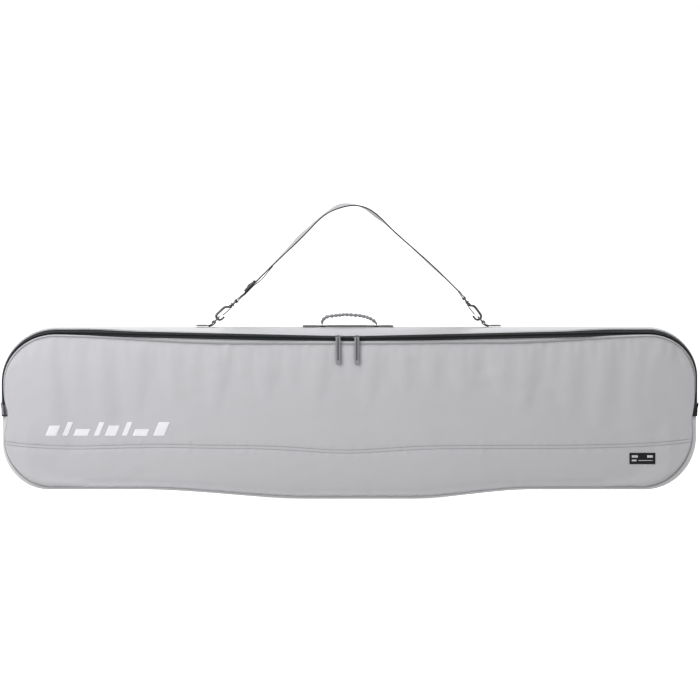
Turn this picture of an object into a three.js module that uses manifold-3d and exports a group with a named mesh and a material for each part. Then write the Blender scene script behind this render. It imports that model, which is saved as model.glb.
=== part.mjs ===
// Padded snowboard bag, standing on its long bottom edge.
// Millimetres, +X along the bag, -Y the front, +Z up, origin on the floor below the middle.

import * as THREE from 'three';
import { mergeVertices } from 'three/addons/utils/BufferGeometryUtils.js';
import Module from 'manifold-3d';

// ---- Driving dimensions -------------------------------------------------------------------------

const HALF_LENGTH = 797.4;      // half the length over the end gussets
const CROWN_Z = 394;            // top of the upper gusset
const SAG = 21;                 // the bottom hangs this far below its own ends
const SAG_LEFT = [-480, -90];   // the sag starts and is complete here, on the left
const SAG_RIGHT = [420, 140];   // and here, on the right
const SEAM_Y = 64;              // front and back seams, from the middle plane
const BULGE = 20;               // the panels swell this far past their seams
const FOLD_Z = 190;             // the flap folds down about this level
const BOTTOM_FLAT_Y = 35;       // the bottom gusset is flat this far each side of the middle
const CORNERS = {               // outline radii
  topLeft: 126,
  topRight: 114,
  bottomLeft: 108,
  bottomRight: 120,
};

const GAP = 0.3;                // left between neighbouring pieces
const SHELL = 1.4;              // outer fabric
const PADDING = 5;              // foam with its lining
const LINING = 1.6;             // gusset lining
const PIPING_R = 2;

const SEAM_INSET = { top: 37, topEnd: 19, side: 11, bottom: 9, back: 14 };
const ZIP = {
  y: -50,                       // centre line of the zip, from the middle plane
  topInset: 25,                 // its depth below the crown in the middle of the bag
  rise: 0.0226,                 // its rise per millimetre towards each end
  flat: 20,                     // it runs level for this far each side of the middle
  straight: 600,                // and straight to here
  sideInset: 6.5,
  topPitch: THREE.MathUtils.degToRad(40),
  sidePitch: THREE.MathUtils.degToRad(18),
  coilOffset: 2.5,
  coilRadius: 1.5,
  tapeStart: 4.3,
  tapeEnd: 8,
  tapeHalf: 0.5,
};

const WEBBING = 2.4;
const STRAP_WIDTH = 38;
const TAB_WIDTH = 25;
const RING_ROD = 1.8;           // D-ring rod radius
const RING_REACH = 18;          // from the D-ring's bar to the middle of its bow
const HOOK_WIRE = 2.2;
const HOOK_PLAY = 2.5;          // between the hook's bow and the D-ring
const HOOK_LENGTH = 45.6;

// Each end of the strap: where the D-ring's bow hangs in the hook, where the D-ring's bar is,
// and the direction of the hook's long axis.
const STRAP_ENDS = {
  left: { bow: [-299.5, 416.8], bar: [-312, 403.8], angle: 42.7, outward: -1 },
  right: { bow: [295.5, 416.8], bar: [308, 403.8], angle: 127, outward: 1 },
};

// The strap's route in the middle plane, from the left strap loop to the right one.
const STRAP_ROUTE = [
  [-244.9, 467.2], [-208.4, 503.9], [-172, 540.6], [-135.5, 577.3], [-99, 614], [-60, 650], [-27, 669],
  [5, 674], [36, 667], [72, 641], [109, 607], [150, 571], [195, 529], [222, 504], [250.6, 476.2],
];
const TRIGLIDE_AT = 0.04;       // place of the slide buckle along the route, as a share of it

const HANDLE_ROUTE = [
  [-63, 401], [-62.4, 407], [-55, 415.5], [-43, 418.6], [-26, 420.6], [-9, 422],
  [8, 421], [25, 419.5], [44, 414.5], [56, 407.5], [62, 401],
];

const SLIDER_X = { left: -26, right: 17 };

// ---- Colours ------------------------------------------------------------------------------------

const finish = {
  fabric: { color: 0xb9babf, roughness: 0.85, metalness: 0 },
  lining: { color: 0x8d9096, roughness: 0.9, metalness: 0 },
  tape: { color: 0x1d1e20, roughness: 0.8, metalness: 0 },
  coil: { color: 0x2a2b2d, roughness: 0.45, metalness: 0 },
  webbing: { color: 0x8e9095, roughness: 0.8, metalness: 0 },
  heather: { color: 0x5f6165, roughness: 0.9, metalness: 0 },
  metal: { color: 0x2b2b2d, roughness: 0.3, metalness: 0.9 },
  plastic: { color: 0x18181a, roughness: 0.4, metalness: 0 },
  label: { color: 0x141416, roughness: 0.7, metalness: 0 },
};

const bag = new THREE.Group();

function add(name, geometry, look) {
  const mesh = new THREE.Mesh(geometry, new THREE.MeshStandardMaterial(finish[look]));
  mesh.name = name;
  bag.add(mesh);
  return mesh;
}

// ---- Small maths --------------------------------------------------------------------------------

const { lerp, smoothstep, degToRad } = THREE.MathUtils;

function steps(count) {
  return Array.from({ length: count + 1 }, (_, i) => i / count);
}

// ---- Solids from rows of points -----------------------------------------------------------------

// Joins rings of points into one closed solid. Each ring has an even number of points; the
// second half runs back along the first, so that a strip between the halves closes each end.
// Both halves split their four-sided faces the same way, which keeps nested layers apart.
function loft(rings, closed = false) {
  const n = rings[0].length;
  const index = [];
  const spans = closed ? rings.length : rings.length - 1;
  for (let i = 0; i < spans; i++) {
    const a = i * n;
    const b = ((i + 1) % rings.length) * n;
    for (let k = 0; k < n; k++) {
      const l = (k + 1) % n;
      if (k < n / 2) index.push(a + k, a + l, b + l, a + k, b + l, b + k);
      else index.push(a + k, a + l, b + k, a + l, b + l, b + k);
    }
  }
  if (!closed) {
    const last = (rings.length - 1) * n;
    for (let k = 0; k < n / 2 - 1; k++) {
      const [p, q, r, s] = [k, k + 1, n - 2 - k, n - 1 - k];
      index.push(p, r, q, p, s, r);
      index.push(last + p, last + q, last + r, last + p, last + r, last + s);
    }
  }
  const geometry = new THREE.BufferGeometry();
  geometry.setAttribute('position', new THREE.Float32BufferAttribute(rings.flat(2), 3));
  geometry.setIndex(volume(rings.flat(), index) < 0 ? index.reverse() : index);
  geometry.computeVertexNormals();
  return geometry;
}

function volume(points, index) {
  let total = 0;
  for (let i = 0; i < index.length; i += 3) {
    const [a, b, c] = [0, 1, 2].map((k) => new THREE.Vector3(...points[index[i + k]]));
    total += a.dot(b.cross(c));
  }
  return total;
}

// ---- Boolean cut and join -----------------------------------------------------------------------

const wasm = await Module();
wasm.setup();

function toSolid(geometry) {
  const bare = geometry.clone();
  bare.deleteAttribute('normal');
  bare.deleteAttribute('uv');
  const merged = mergeVertices(bare, 1e-4);
  return new wasm.Manifold(new wasm.Mesh({
    numProp: 3,
    vertProperties: new Float32Array(merged.attributes.position.array),
    triVerts: new Uint32Array(merged.index.array),
  }));
}

function toGeometry(solid) {
  const mesh = solid.getMesh();
  const geometry = new THREE.BufferGeometry();
  geometry.setAttribute('position', new THREE.BufferAttribute(mesh.vertProperties, 3));
  geometry.setIndex(new THREE.BufferAttribute(mesh.triVerts, 1));
  geometry.computeVertexNormals();
  return geometry;
}

const join = (...parts) => toGeometry(parts.map(toSolid).reduce((a, b) => a.add(b)));
const cut = (whole, hole) => toGeometry(toSolid(whole).subtract(toSolid(hole)));

// ---- The bag's outline --------------------------------------------------------------------------

// Height of the outline's bottom edge: zero where the bag stands, SAG near its ends.
function bottomZ(x) {
  const left = 1 - smoothstep(x, SAG_LEFT[0], SAG_LEFT[1]);
  const right = smoothstep(x, SAG_RIGHT[1], SAG_RIGHT[0]);
  return SAG * Math.max(left, right);
}

// Depth of the front seam below the crown along the top.
function topSeamInset(x) {
  return lerp(SEAM_INSET.top, SEAM_INSET.topEnd, smoothstep(Math.abs(x), 250, 710));
}

// Depth of the zip's centre line below the crown along the top.
function topZipInset(x) {
  const run = Math.min(Math.max(Math.abs(x) - ZIP.flat, 0), ZIP.straight - ZIP.flat);
  return ZIP.topInset - ZIP.rise * run;
}

// A station is a point of the outline with its outward direction, the depth of the front seam
// there and the place of the zip. side is 0 along the top or bottom and 1 at an end of the bag.
function topStation(x, z, angle, side) {
  const way = smoothstep(side, 0, 1);
  return {
    x,
    z,
    nx: Math.cos(angle),
    nz: Math.sin(angle),
    seam: lerp(topSeamInset(x), SEAM_INSET.side, way),
    back: lerp(SEAM_INSET.back, SEAM_INSET.side, way),
    flat: 0,
    zip: lerp(topZipInset(x), ZIP.sideInset, way),
    pitch: lerp(ZIP.topPitch, ZIP.sidePitch, way),
  };
}

function bottomStation(x, z, angle, side) {
  const way = smoothstep(side, 0, 1);
  const seam = lerp(SEAM_INSET.bottom, SEAM_INSET.side, way);
  return {
    x,
    z,
    nx: Math.cos(angle),
    nz: Math.sin(angle),
    seam,
    back: seam,
    flat: lerp(BOTTOM_FLAT_Y, 0, way),
  };
}

// Quarter circle of an outline corner, from the end of the bag to its top or bottom edge.
function corner(radius, right, top, make) {
  const cx = (HALF_LENGTH - radius) * (right ? 1 : -1);
  const cz = top ? CROWN_Z - radius : SAG + radius;
  return steps(6).map((t) => {
    const turn = (t * Math.PI) / 2;
    const angle = Math.atan2(Math.sin(turn) * (top ? 1 : -1), Math.cos(turn) * (right ? 1 : -1));
    return make(cx + radius * Math.cos(angle), cz + radius * Math.sin(angle), angle, 1 - t);
  });
}

// Places along the straight part of the bag where the sections are taken, the same above and below.
const STRAIGHT_X = [
  -600, SAG_LEFT[0], -400, -320, -240, -160, SAG_LEFT[1], -ZIP.flat, ZIP.flat, SAG_RIGHT[1], 210, 280, 350,
  SAG_RIGHT[0], 510, 600,
];

const topRun = STRAIGHT_X.map((x) => topStation(x, CROWN_Z, Math.PI / 2, 0));

const bottomRun = STRAIGHT_X.map((x) => {
  const slope = (bottomZ(x + 1) - bottomZ(x - 1)) / 2;
  return bottomStation(x, bottomZ(x), Math.atan2(-1, slope), 0);
});

const arcs = {
  topLeft: corner(CORNERS.topLeft, false, true, topStation),
  topRight: corner(CORNERS.topRight, true, true, topStation).reverse(),
  bottomLeft: corner(CORNERS.bottomLeft, false, false, bottomStation),
  bottomRight: corner(CORNERS.bottomRight, true, false, bottomStation).reverse(),
};

// Stations from the fold at the left end, over the top, to the fold at the right end.
const upperPath = [
  topStation(-HALF_LENGTH, FOLD_Z + GAP / 2, Math.PI, 1),
  ...arcs.topLeft,
  ...topRun,
  ...arcs.topRight,
  topStation(HALF_LENGTH, FOLD_Z + GAP / 2, 0, 1),
];

// The same, below the fold.
const lowerPath = [
  bottomStation(-HALF_LENGTH, FOLD_Z - GAP / 2, Math.PI, 1),
  ...arcs.bottomLeft,
  ...bottomRun,
  ...arcs.bottomRight,
  bottomStation(HALF_LENGTH, FOLD_Z - GAP / 2, 0, 1),
];

// A point at depth inset behind the outline.
function behind(station, y, inset) {
  return [station.x - station.nx * inset, y, station.z - station.nz * inset];
}

// ---- Panels -------------------------------------------------------------------------------------

// Each column of a panel runs from a point of the lower seam to one of the upper seam.
function seamPoint(station, facing, margin) {
  const inset = facing < 0 ? station.seam : station.back;
  const [x, , z] = behind(station, 0, inset + margin);
  return [x, z];
}

const columns = [
  ...arcs.topLeft.map((top, i) => [arcs.bottomLeft[i], top]),
  ...topRun.map((top, i) => [bottomRun[i], top]),
  ...arcs.topRight.map((top, i) => [arcs.bottomRight[i], top]),
];

// How far a panel swells past its seams; up runs from 0 at the lower seam to 1 at the upper.
function swell(x, up) {
  const along = 1 - Math.abs(x / (HALF_LENGTH - SEAM_INSET.side)) ** 5;
  const across = 1 - Math.abs(2 * up - 1) ** 2.4;
  return BULGE * Math.max(along, 0) * across;
}

// A layer of a panel between two depths below its outer face. facing is -1 at the front, 1 at
// the back. limits gives the heights between which the layer lies, or null for the whole panel.
function panelLayer(facing, outer, inner, margin, rows, limits = null) {
  const rings = columns.map(([low, high]) => {
    const [x0, z0] = seamPoint(low, facing, margin);
    const [x1, z1] = seamPoint(high, facing, margin);
    const from = limits && limits[0] !== null ? (limits[0] - z0) / (z1 - z0) : 0;
    const to = limits && limits[1] !== null ? (limits[1] - z0) / (z1 - z0) : 1;
    const line = (depth) => steps(rows).map((step) => {
      const up = lerp(from, to, step);
      const x = lerp(x0, x1, up);
      return [x, facing * (SEAM_Y + swell(x, up) - depth), lerp(z0, z1, up)];
    });
    return [...line(outer), ...line(inner).reverse()];
  });
  return loft(rings);
}

const PANEL_MARGIN = PIPING_R + GAP;
const PADDING_MARGIN = PANEL_MARGIN + 1.5;
const PADDING_TOP = SHELL + GAP;
const BELOW_FOLD = [null, FOLD_Z - GAP];
const ABOVE_FOLD = [FOLD_Z + GAP, null];

add('back_panel', panelLayer(1, 0, SHELL, PANEL_MARGIN, 6), 'fabric');
add('back_padding', panelLayer(1, PADDING_TOP, PADDING_TOP + PADDING, PADDING_MARGIN, 6), 'lining');
add('front_lower_panel', panelLayer(-1, 0, SHELL, PANEL_MARGIN, 3, BELOW_FOLD), 'fabric');
add('front_lower_padding',
  panelLayer(-1, PADDING_TOP, PADDING_TOP + PADDING, PADDING_MARGIN, 3, BELOW_FOLD), 'lining');
add('front_flap', panelLayer(-1, 0, SHELL, PANEL_MARGIN, 3, ABOVE_FOLD), 'fabric');
add('front_flap_padding',
  panelLayer(-1, PADDING_TOP, PADDING_TOP + PADDING, PADDING_MARGIN, 3, ABOVE_FOLD), 'lining');

// ---- Zip and gussets ----------------------------------------------------------------------------

// A point near the zip's centre line: across is towards the front seam, out is off the tape.
function zipPoint(station, across, out) {
  const [c, s] = [Math.cos(station.pitch), Math.sin(station.pitch)];
  return [ZIP.y - across * c - out * s, station.zip + across * s - out * c];
}

function zipLoft(section) {
  return loft(upperPath.map((station) => section.map(([across, out]) => {
    const [y, inset] = zipPoint(station, across, out);
    return behind(station, y, inset);
  })));
}

const tapeSection = (side) => [
  [side * ZIP.tapeStart, ZIP.tapeHalf],
  [side * ZIP.tapeEnd, ZIP.tapeHalf],
  [side * ZIP.tapeEnd, -ZIP.tapeHalf],
  [side * ZIP.tapeStart, -ZIP.tapeHalf],
];

const coilSection = (side) => steps(6).slice(0, 6).map((t) => [
  side * ZIP.coilOffset + ZIP.coilRadius * Math.cos(2 * Math.PI * t),
  ZIP.coilRadius * Math.sin(2 * Math.PI * t),
]);

add('zipper_tape_gusset', zipLoft(tapeSection(-1)), 'tape');
add('zipper_coil_gusset', zipLoft(coilSection(-1)), 'coil');
add('zipper_tape_flap', zipLoft(tapeSection(1)), 'tape');
add('zipper_coil_flap', zipLoft(coilSection(1)), 'coil');

// Strip of the flap between its zip tape and the front seam.
function flapEdge() {
  return loft(upperPath.map((station) => {
    const [y0, i0] = zipPoint(station, ZIP.tapeEnd + GAP, 0);
    const [dy, di] = [-SEAM_Y - y0, station.seam - i0];
    const share = 1 - (PIPING_R + GAP + SHELL) / Math.hypot(dy, di);
    const [y1, i1] = [y0 + dy * share, i0 + di * share];
    return [
      behind(station, y0, i0),
      behind(station, y1, i1),
      behind(station, y1, i1 + SHELL),
      behind(station, y0, i0 + SHELL),
    ];
  }));
}

add('flap_edge_strip', flapEdge(), 'fabric');

// Distances from the middle plane at which the gussets' sections turn. The lining stops one
// short of the fabric, clear of the panels' padding.
const GUSSET_EDGE = SEAM_Y - PIPING_R - GAP;
const GUSSET_TURNS = [20, 40, 52, GUSSET_EDGE];
const FOOT_TURNS = [43, 52, GUSSET_EDGE];
const LINING_TOP = SHELL + GAP;

// The upper gusset arches from the zip's back tape over the crown to the back seam.
function upperGusset(top, thickness, turns) {
  return loft(upperPath.map((station) => {
    const [y0, i0] = zipPoint(station, -ZIP.tapeEnd - GAP - SHELL, 0);
    const front = [1, 0.66, 0.33, 0].map((k) => [y0 * k, i0 * k * k]);
    const rear = turns.map((y) => [y, station.back * (y / SEAM_Y) ** 2]);
    const line = (depth) => [...front, ...rear].map(([y, inset]) => behind(station, y, inset + depth));
    return [...line(top), ...line(top + thickness).reverse()];
  }));
}

// The lower gusset runs from seam to seam. Its flat foot narrows to nothing at the bag's ends.
function lowerGusset(top, thickness, turns) {
  return loft(lowerPath.map((station) => {
    const foot = Math.max(station.flat, 2);
    const half = [foot, lerp(foot, turns[0], 0.5), ...turns]
      .map((y) => [y, station.seam * ((y - foot) / (SEAM_Y - foot)) ** 2]);
    const across = [...half.map(([y, inset]) => [-y, inset]).reverse(), ...half];
    const line = (depth) => across.map(([y, inset]) => behind(station, y, inset + depth));
    return [...line(top), ...line(top + thickness).reverse()];
  }));
}

add('upper_gusset', upperGusset(0, SHELL, GUSSET_TURNS), 'fabric');
add('upper_gusset_lining', upperGusset(LINING_TOP, LINING, GUSSET_TURNS.slice(0, -1)), 'lining');
add('lower_gusset', lowerGusset(0, SHELL, FOOT_TURNS), 'fabric');
add('lower_gusset_lining', lowerGusset(LINING_TOP, LINING, FOOT_TURNS.slice(0, -1)), 'lining');

// ---- Piping -------------------------------------------------------------------------------------

function piping(stations, facing, closed) {
  return loft(stations.map((station) => steps(6).slice(0, 6).map((t) => {
    const turn = 2 * Math.PI * t;
    const inset = facing < 0 ? station.seam : station.back;
    return behind(station, facing * SEAM_Y + PIPING_R * Math.cos(turn), inset + PIPING_R * Math.sin(turn));
  })), closed);
}

add('piping_front_flap', piping(upperPath, -1, false), 'fabric');
add('piping_front_lower', piping(lowerPath, -1, false), 'fabric');
add('piping_back', piping([...upperPath, ...lowerPath.slice().reverse()], 1, true), 'fabric');

// ---- Flat pieces that lie on the bag ------------------------------------------------------------

// A rectangle in the X-Z plane, taken through Y.
function plate(width, depth, height, x, y, z) {
  return new THREE.BoxGeometry(width, depth, height).translate(x, y, z);
}

const CROWN_CLEAR = CROWN_Z + GAP;
const HANDLE_BASE = { from: -107, to: 100 };

add('handle_base_webbing', plate(HANDLE_BASE.to - HANDLE_BASE.from, TAB_WIDTH, WEBBING,
  (HANDLE_BASE.to + HANDLE_BASE.from) / 2, 0, CROWN_CLEAR + WEBBING / 2), 'webbing');

// Sewn tab at the lower end of the zip, lying over the end gusset just behind the tape.
const END_TAB = { fromY: -46, toY: -24, lift: 2, thickness: 1.2, low: 195, high: 216 };

function zipEndTab(right) {
  const make = (z) => topStation(right ? HALF_LENGTH : -HALF_LENGTH, z, right ? 0 : Math.PI, 1);
  return loft([END_TAB.low, END_TAB.high].map((z) => {
    const station = make(z);
    const line = (out) => steps(3).map((t) => {
      const y = lerp(END_TAB.fromY, END_TAB.toY, t);
      return behind(station, y, station.zip * (y / ZIP.y) ** 2 - out);
    });
    return [...line(END_TAB.lift + END_TAB.thickness), ...line(END_TAB.lift).reverse()];
  }));
}

add('zip_end_tab_left', zipEndTab(false), 'webbing');
add('zip_end_tab_right', zipEndTab(true), 'webbing');

// Woven label near the right-hand end of the lower panel, following its swell.
const LABEL = { x: 671, z: 94, width: 59, height: 26, thickness: 0.8, lift: 0.7 };

function label() {
  const lowZ = SAG + SEAM_INSET.bottom;
  const highZ = CROWN_Z - topSeamInset(LABEL.x);
  return loft(steps(3).map((t) => {
    const x = LABEL.x + LABEL.width * (t - 0.5);
    const line = (out) => steps(2).map((s) => {
      const z = LABEL.z + LABEL.height * (s - 0.5);
      return [x, -(SEAM_Y + swell(x, (z - lowZ) / (highZ - lowZ)) + out), z];
    });
    return [...line(LABEL.lift + LABEL.thickness), ...line(LABEL.lift).reverse()];
  }));
}

add('label', label(), 'label');

// ---- Solids drawn in a plane --------------------------------------------------------------------

// Flat outline with holes, taken through its own third axis and centred on it.
function extrude(outline, holes, depth) {
  const shape = new THREE.Shape(outline);
  shape.holes.push(...holes.map((points) => new THREE.Path(points)));
  const solid = new THREE.ExtrudeGeometry(shape, { depth, bevelEnabled: false, steps: 1 });
  return solid.translate(0, 0, -depth / 2);
}

const vectors = (points) => points.map(([x, y]) => new THREE.Vector2(x, y));

function arcPoints(cx, cy, radius, from, to, count) {
  return steps(count).map((t) => {
    const angle = degToRad(lerp(from, to, t));
    return [cx + radius * Math.cos(angle), cy + radius * Math.sin(angle)];
  });
}

function rectangle(x0, y0, x1, y1) {
  return [[x0, y0], [x1, y0], [x1, y1], [x0, y1]];
}

// Turns a drawing's own axes to three given directions and moves its origin to a point.
function placed(geometry, xAxis, yAxis, origin) {
  const x = new THREE.Vector3(...xAxis).normalize();
  const y = new THREE.Vector3(...yAxis).normalize();
  const basis = new THREE.Matrix4().makeBasis(x, y, x.clone().cross(y));
  return geometry.clone().applyMatrix4(basis.setPosition(...origin));
}

// Round wire along a flat path, its ends square.
function wire(points, radius, sides = 8) {
  const flat = points.map(([x, y]) => new THREE.Vector2(x, y));
  return loft(flat.map((point, i) => {
    const before = flat[Math.max(i - 1, 0)];
    const after = flat[Math.min(i + 1, flat.length - 1)];
    const along = after.clone().sub(before).normalize();
    return steps(sides).slice(0, sides).map((t) => {
      const turn = 2 * Math.PI * (t + 0.5 / sides);
      const out = radius * Math.cos(turn);
      return [point.x - along.y * out, point.y + along.x * out, radius * Math.sin(turn)];
    });
  }));
}

// ---- Strap ends: tab, D-ring, snap hook, gate, swivel eye and webbing loop ----------------------

// Webbing tab sewn flat on the crown, folded round the D-ring's bar.
function strapTab({ bar: [barX, barZ], outward }) {
  const inner = RING_ROD + GAP + 0.3;
  const outer = inner + WEBBING;
  const top = CROWN_CLEAR + WEBBING;
  const ring = arcPoints(barX, barZ, outer, 128, -95, 14).map(([x, z]) => [barX - outward * (x - barX), z]);
  const outline = [
    [barX + outward * 40, CROWN_CLEAR],
    [barX + outward * 40, top],
    [barX + outward * 11, top],
    ...ring,
    [barX + outward * 7, CROWN_CLEAR],
  ];
  const hole = arcPoints(barX, barZ, inner, 0, 360, 12).slice(0, -1);
  const flat = extrude(vectors(outline), [vectors(hole)], TAB_WIDTH);
  return placed(flat, [1, 0, 0], [0, 0, 1], [0, 0, 0]);
}

// D-ring in the plane of Y and the line from its bar to its bow.
function dRing({ bow, bar }) {
  const half = TAB_WIDTH / 2 + 3;
  const reach = RING_REACH;
  const arc = steps(10).map((t) => {
    const angle = Math.PI * t;
    return [half * Math.cos(angle), 3 + (reach - 3) * Math.sin(angle) ** 0.8];
  });
  const path = [[0, 0], [half - 2, 0], [half, 1.5], ...arc.slice(1, -1), [-half, 1.5], [-half + 2, 0]];
  const flat = path.map(([x, y]) => new THREE.Vector2(x, y));
  const rings = flat.map((point, i) => {
    const before = flat[(i + flat.length - 1) % flat.length];
    const after = flat[(i + 1) % flat.length];
    const along = after.clone().sub(before).normalize();
    return steps(8).slice(0, 8).map((t) => {
      const turn = 2 * Math.PI * (t + 1 / 16);
      const out = RING_ROD * Math.cos(turn);
      return [point.x - along.y * out, point.y + along.x * out, RING_ROD * Math.sin(turn)];
    });
  });
  const upward = [bow[0] - bar[0], 0, bow[1] - bar[1]];
  return placed(loft(rings, true), [0, 1, 0], upward, [bar[0], 0, bar[1]]);
}

// The hook's own axes: x up its long axis from the bottom of its bow, y towards its gate.
const HOOK = { bowRadius: 8, seat: HOOK_WIRE + RING_ROD + HOOK_PLAY, shankFrom: 38, stud: 4, noseAt: 15 };
const GATE = { at: [37.5, 3.2], reach: 22.5, radius: 1.1 };
const EYE = { base: HOOK_LENGTH + 0.6, height: 16, width: 46, rod: 4 };
const LOOP_BAR = EYE.base + EYE.height - EYE.rod / 2;

function hookAxes({ bow, angle, outward }) {
  const turn = degToRad(angle);
  const along = [Math.cos(turn), 0, Math.sin(turn)];
  const gateSide = [Math.sin(turn) * -outward, 0, -Math.cos(turn) * -outward];
  const origin = [bow[0] - along[0] * HOOK.seat, 0, bow[1] - along[2] * HOOK.seat];
  return { along, gateSide, origin };
}

function onHook(geometry, end) {
  const { along, gateSide, origin } = hookAxes(end);
  return placed(geometry, along, gateSide, origin);
}

// A round bar along the hook's long axis.
function shaft(from, to, radius) {
  return new THREE.CylinderGeometry(radius, radius, to - from, 12)
    .rotateZ(-Math.PI / 2)
    .translate((from + to) / 2, 0, 0);
}

function hookBody() {
  const r = HOOK.bowRadius;
  const path = [
    [HOOK.shankFrom + 2, 0],
    [HOOK.shankFrom - 1, -2.5],
    [33, -6.5],
    [27, -r],
    [r + 6, -r],
    ...arcPoints(r, 0, r, 270, 90, 10),
    [HOOK.noseAt, r],
  ];
  return join(
    wire(path, HOOK_WIRE),
    shaft(HOOK.shankFrom, HOOK_LENGTH, 4.2),
    shaft(HOOK_LENGTH - 1, EYE.base + EYE.rod + 2.2, HOOK.stud / 2),
    shaft(EYE.base + EYE.rod + 0.5, EYE.base + EYE.rod + 2.5, 3.2),
  );
}

// Sprung wire gate: shuts the hook from its shank to the inside of its nose.
function gate() {
  const [x, y] = GATE.at;
  return wire([[x, y], [x - GATE.reach, y - 0.4]], GATE.radius, 6);
}

function swivelEye() {
  const outline = rectangle(EYE.base, -EYE.width / 2, EYE.base + EYE.height, EYE.width / 2);
  const hole = rectangle(EYE.base + EYE.rod, -EYE.width / 2 + EYE.rod, EYE.base + EYE.height - EYE.rod,
    EYE.width / 2 - EYE.rod);
  const flat = extrude(vectors(outline), [vectors(hole)], EYE.rod).rotateX(Math.PI / 2);
  return cut(flat, shaft(EYE.base - 1, EYE.base + EYE.rod + 1, HOOK.stud / 2 + GAP));
}

// Webbing folded round the eye's bar and sewn to itself.
const LOOP = { inner: 3.3, tail: 20 };

function strapLoop() {
  const outer = LOOP.inner + WEBBING;
  const far = LOOP_BAR + LOOP.tail;
  const outline = [
    [far, WEBBING],
    ...arcPoints(LOOP_BAR, 0, outer, 28, 332, 18),
    [far, -WEBBING],
  ];
  const hole = arcPoints(LOOP_BAR, 0, LOOP.inner, 0, 360, 12).slice(0, -1);
  return extrude(vectors(outline), [vectors(hole)], STRAP_WIDTH);
}

for (const [side, end] of Object.entries(STRAP_ENDS)) {
  add(`strap_tab_${side}`, strapTab(end), 'webbing');
  add(`d_ring_${side}`, dRing(end), 'metal');
  add(`hook_${side}`, onHook(hookBody(), end), 'metal');
  add(`hook_gate_${side}`, onHook(gate(), end), 'metal');
  add(`swivel_eye_${side}`, onHook(swivelEye(), end), 'metal');
  add(`strap_loop_${side}`, onHook(strapLoop(), end), 'webbing');
}

// ---- Webbing along hand-set routes in the middle plane ------------------------------------------

function smoothRoute(route, count) {
  const points = route.map(([x, z]) => new THREE.Vector3(x, 0, z));
  const curve = new THREE.CatmullRomCurve3(points, false, 'centripetal');
  return steps(count).map((t) => ({ point: curve.getPointAt(t), tangent: curve.getTangentAt(t) }));
}

// Flat strip, its width along Y. The width may depend on the height.
function strip(stations, width, thickness) {
  return loft(stations.map(({ point, tangent }) => {
    const at = (y, off) => [point.x - tangent.z * off, y, point.z + tangent.x * off];
    const half = (typeof width === 'function' ? width(point.z) : width) / 2;
    const [low, high] = [-thickness / 2, thickness / 2];
    return [at(-half, high), at(half, high), at(half, low), at(-half, low)];
  }));
}

const strapStations = smoothRoute(STRAP_ROUTE, 26);
add('strap_webbing', strip(strapStations, STRAP_WIDTH, WEBBING), 'webbing');

// Slide buckle: a flat frame with a middle bar, lying on the strap's outer side.
const TRIGLIDE = { along: 34, width: 48, thickness: 3.4, slot: 8, rim: 4.5, clear: 0.5 };

function triglide() {
  const { point, tangent } = smoothRoute(STRAP_ROUTE, 200)[Math.round(200 * TRIGLIDE_AT)];
  const frame = new THREE.BoxGeometry(TRIGLIDE.along, TRIGLIDE.width, TRIGLIDE.thickness);
  const slotWidth = TRIGLIDE.width - 2 * TRIGLIDE.rim;
  const slot = new THREE.BoxGeometry(TRIGLIDE.slot, slotWidth, 2 * TRIGLIDE.thickness);
  const slotAt = TRIGLIDE.along / 2 - TRIGLIDE.rim - TRIGLIDE.slot / 2;
  const slotted = [-slotAt, slotAt].reduce((rest, x) => cut(rest, slot.clone().translate(x, 0, 0)), frame);
  const off = WEBBING / 2 + TRIGLIDE.clear + TRIGLIDE.thickness / 2;
  const origin = [point.x - tangent.z * off, 0, point.z + tangent.x * off];
  return placed(slotted, [tangent.x, 0, tangent.z], [0, 1, 0], origin);
}

add('triglide', triglide(), 'plastic');

// ---- Handle -------------------------------------------------------------------------------------

const HANDLE = { width: 22, rootWidth: 8, flare: 1.8, rootZ: 401, sleeveWidth: 26, sleeveThickness: 8 };

// The webbing is folded narrow at its roots, so that the handle can tip to either side.
function handleWidth(z) {
  return Math.min(HANDLE.rootWidth + HANDLE.flare * (z - HANDLE.rootZ), HANDLE.width);
}

const handleStations = smoothRoute(HANDLE_ROUTE, 20);
const sleeveStations = handleStations.slice(3, -3);

add('handle_webbing', strip(handleStations, handleWidth, WEBBING), 'webbing');
add('handle_sleeve', cut(
  strip(sleeveStations, HANDLE.sleeveWidth, HANDLE.sleeveThickness),
  strip(handleStations, HANDLE.width + 2 * GAP, WEBBING + 2 * GAP),
), 'heather');

// ---- Zip sliders and their pullers --------------------------------------------------------------

const SLIDER = {
  length: 14, half: 5.5, plate: 1.8, clear: 2.2, post: 0.5, bail: 10, bailThick: 2, bailRise: 4.6,
};
const PULL = { width: 12, thickness: 3.4 };

// The slider's own axes: x along the zip, y towards the front seam, z off the tape.
function sliderBody() {
  const { half, plate: thick, clear, post } = SLIDER;
  const section = [
    [-half, clear], [-post, clear], [-post, -clear], [-half, -clear],
    [-half, -clear - thick], [half, -clear - thick], [half, -clear], [post, -clear],
    [post, clear], [half, clear], [half, clear + thick], [-half, clear + thick],
  ];
  const bodyPart = extrude(vectors(section), [], SLIDER.length)
    .applyMatrix4(new THREE.Matrix4().makeBasis(
      new THREE.Vector3(0, 1, 0),
      new THREE.Vector3(0, 0, 1),
      new THREE.Vector3(1, 0, 0),
    ));
  const base = clear + thick - 0.4;
  const bailOutline = rectangle(-SLIDER.bail / 2, base, SLIDER.bail / 2, base + SLIDER.bailRise);
  const bailInner = SLIDER.bail / 2 - 2;
  const bailHole = rectangle(-bailInner, base + 0.4, bailInner, base + SLIDER.bailRise - 1.8);
  const bail = extrude(vectors(bailOutline), [vectors(bailHole)], SLIDER.bailThick).rotateX(Math.PI / 2);
  return join(bodyPart, bail);
}

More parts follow.
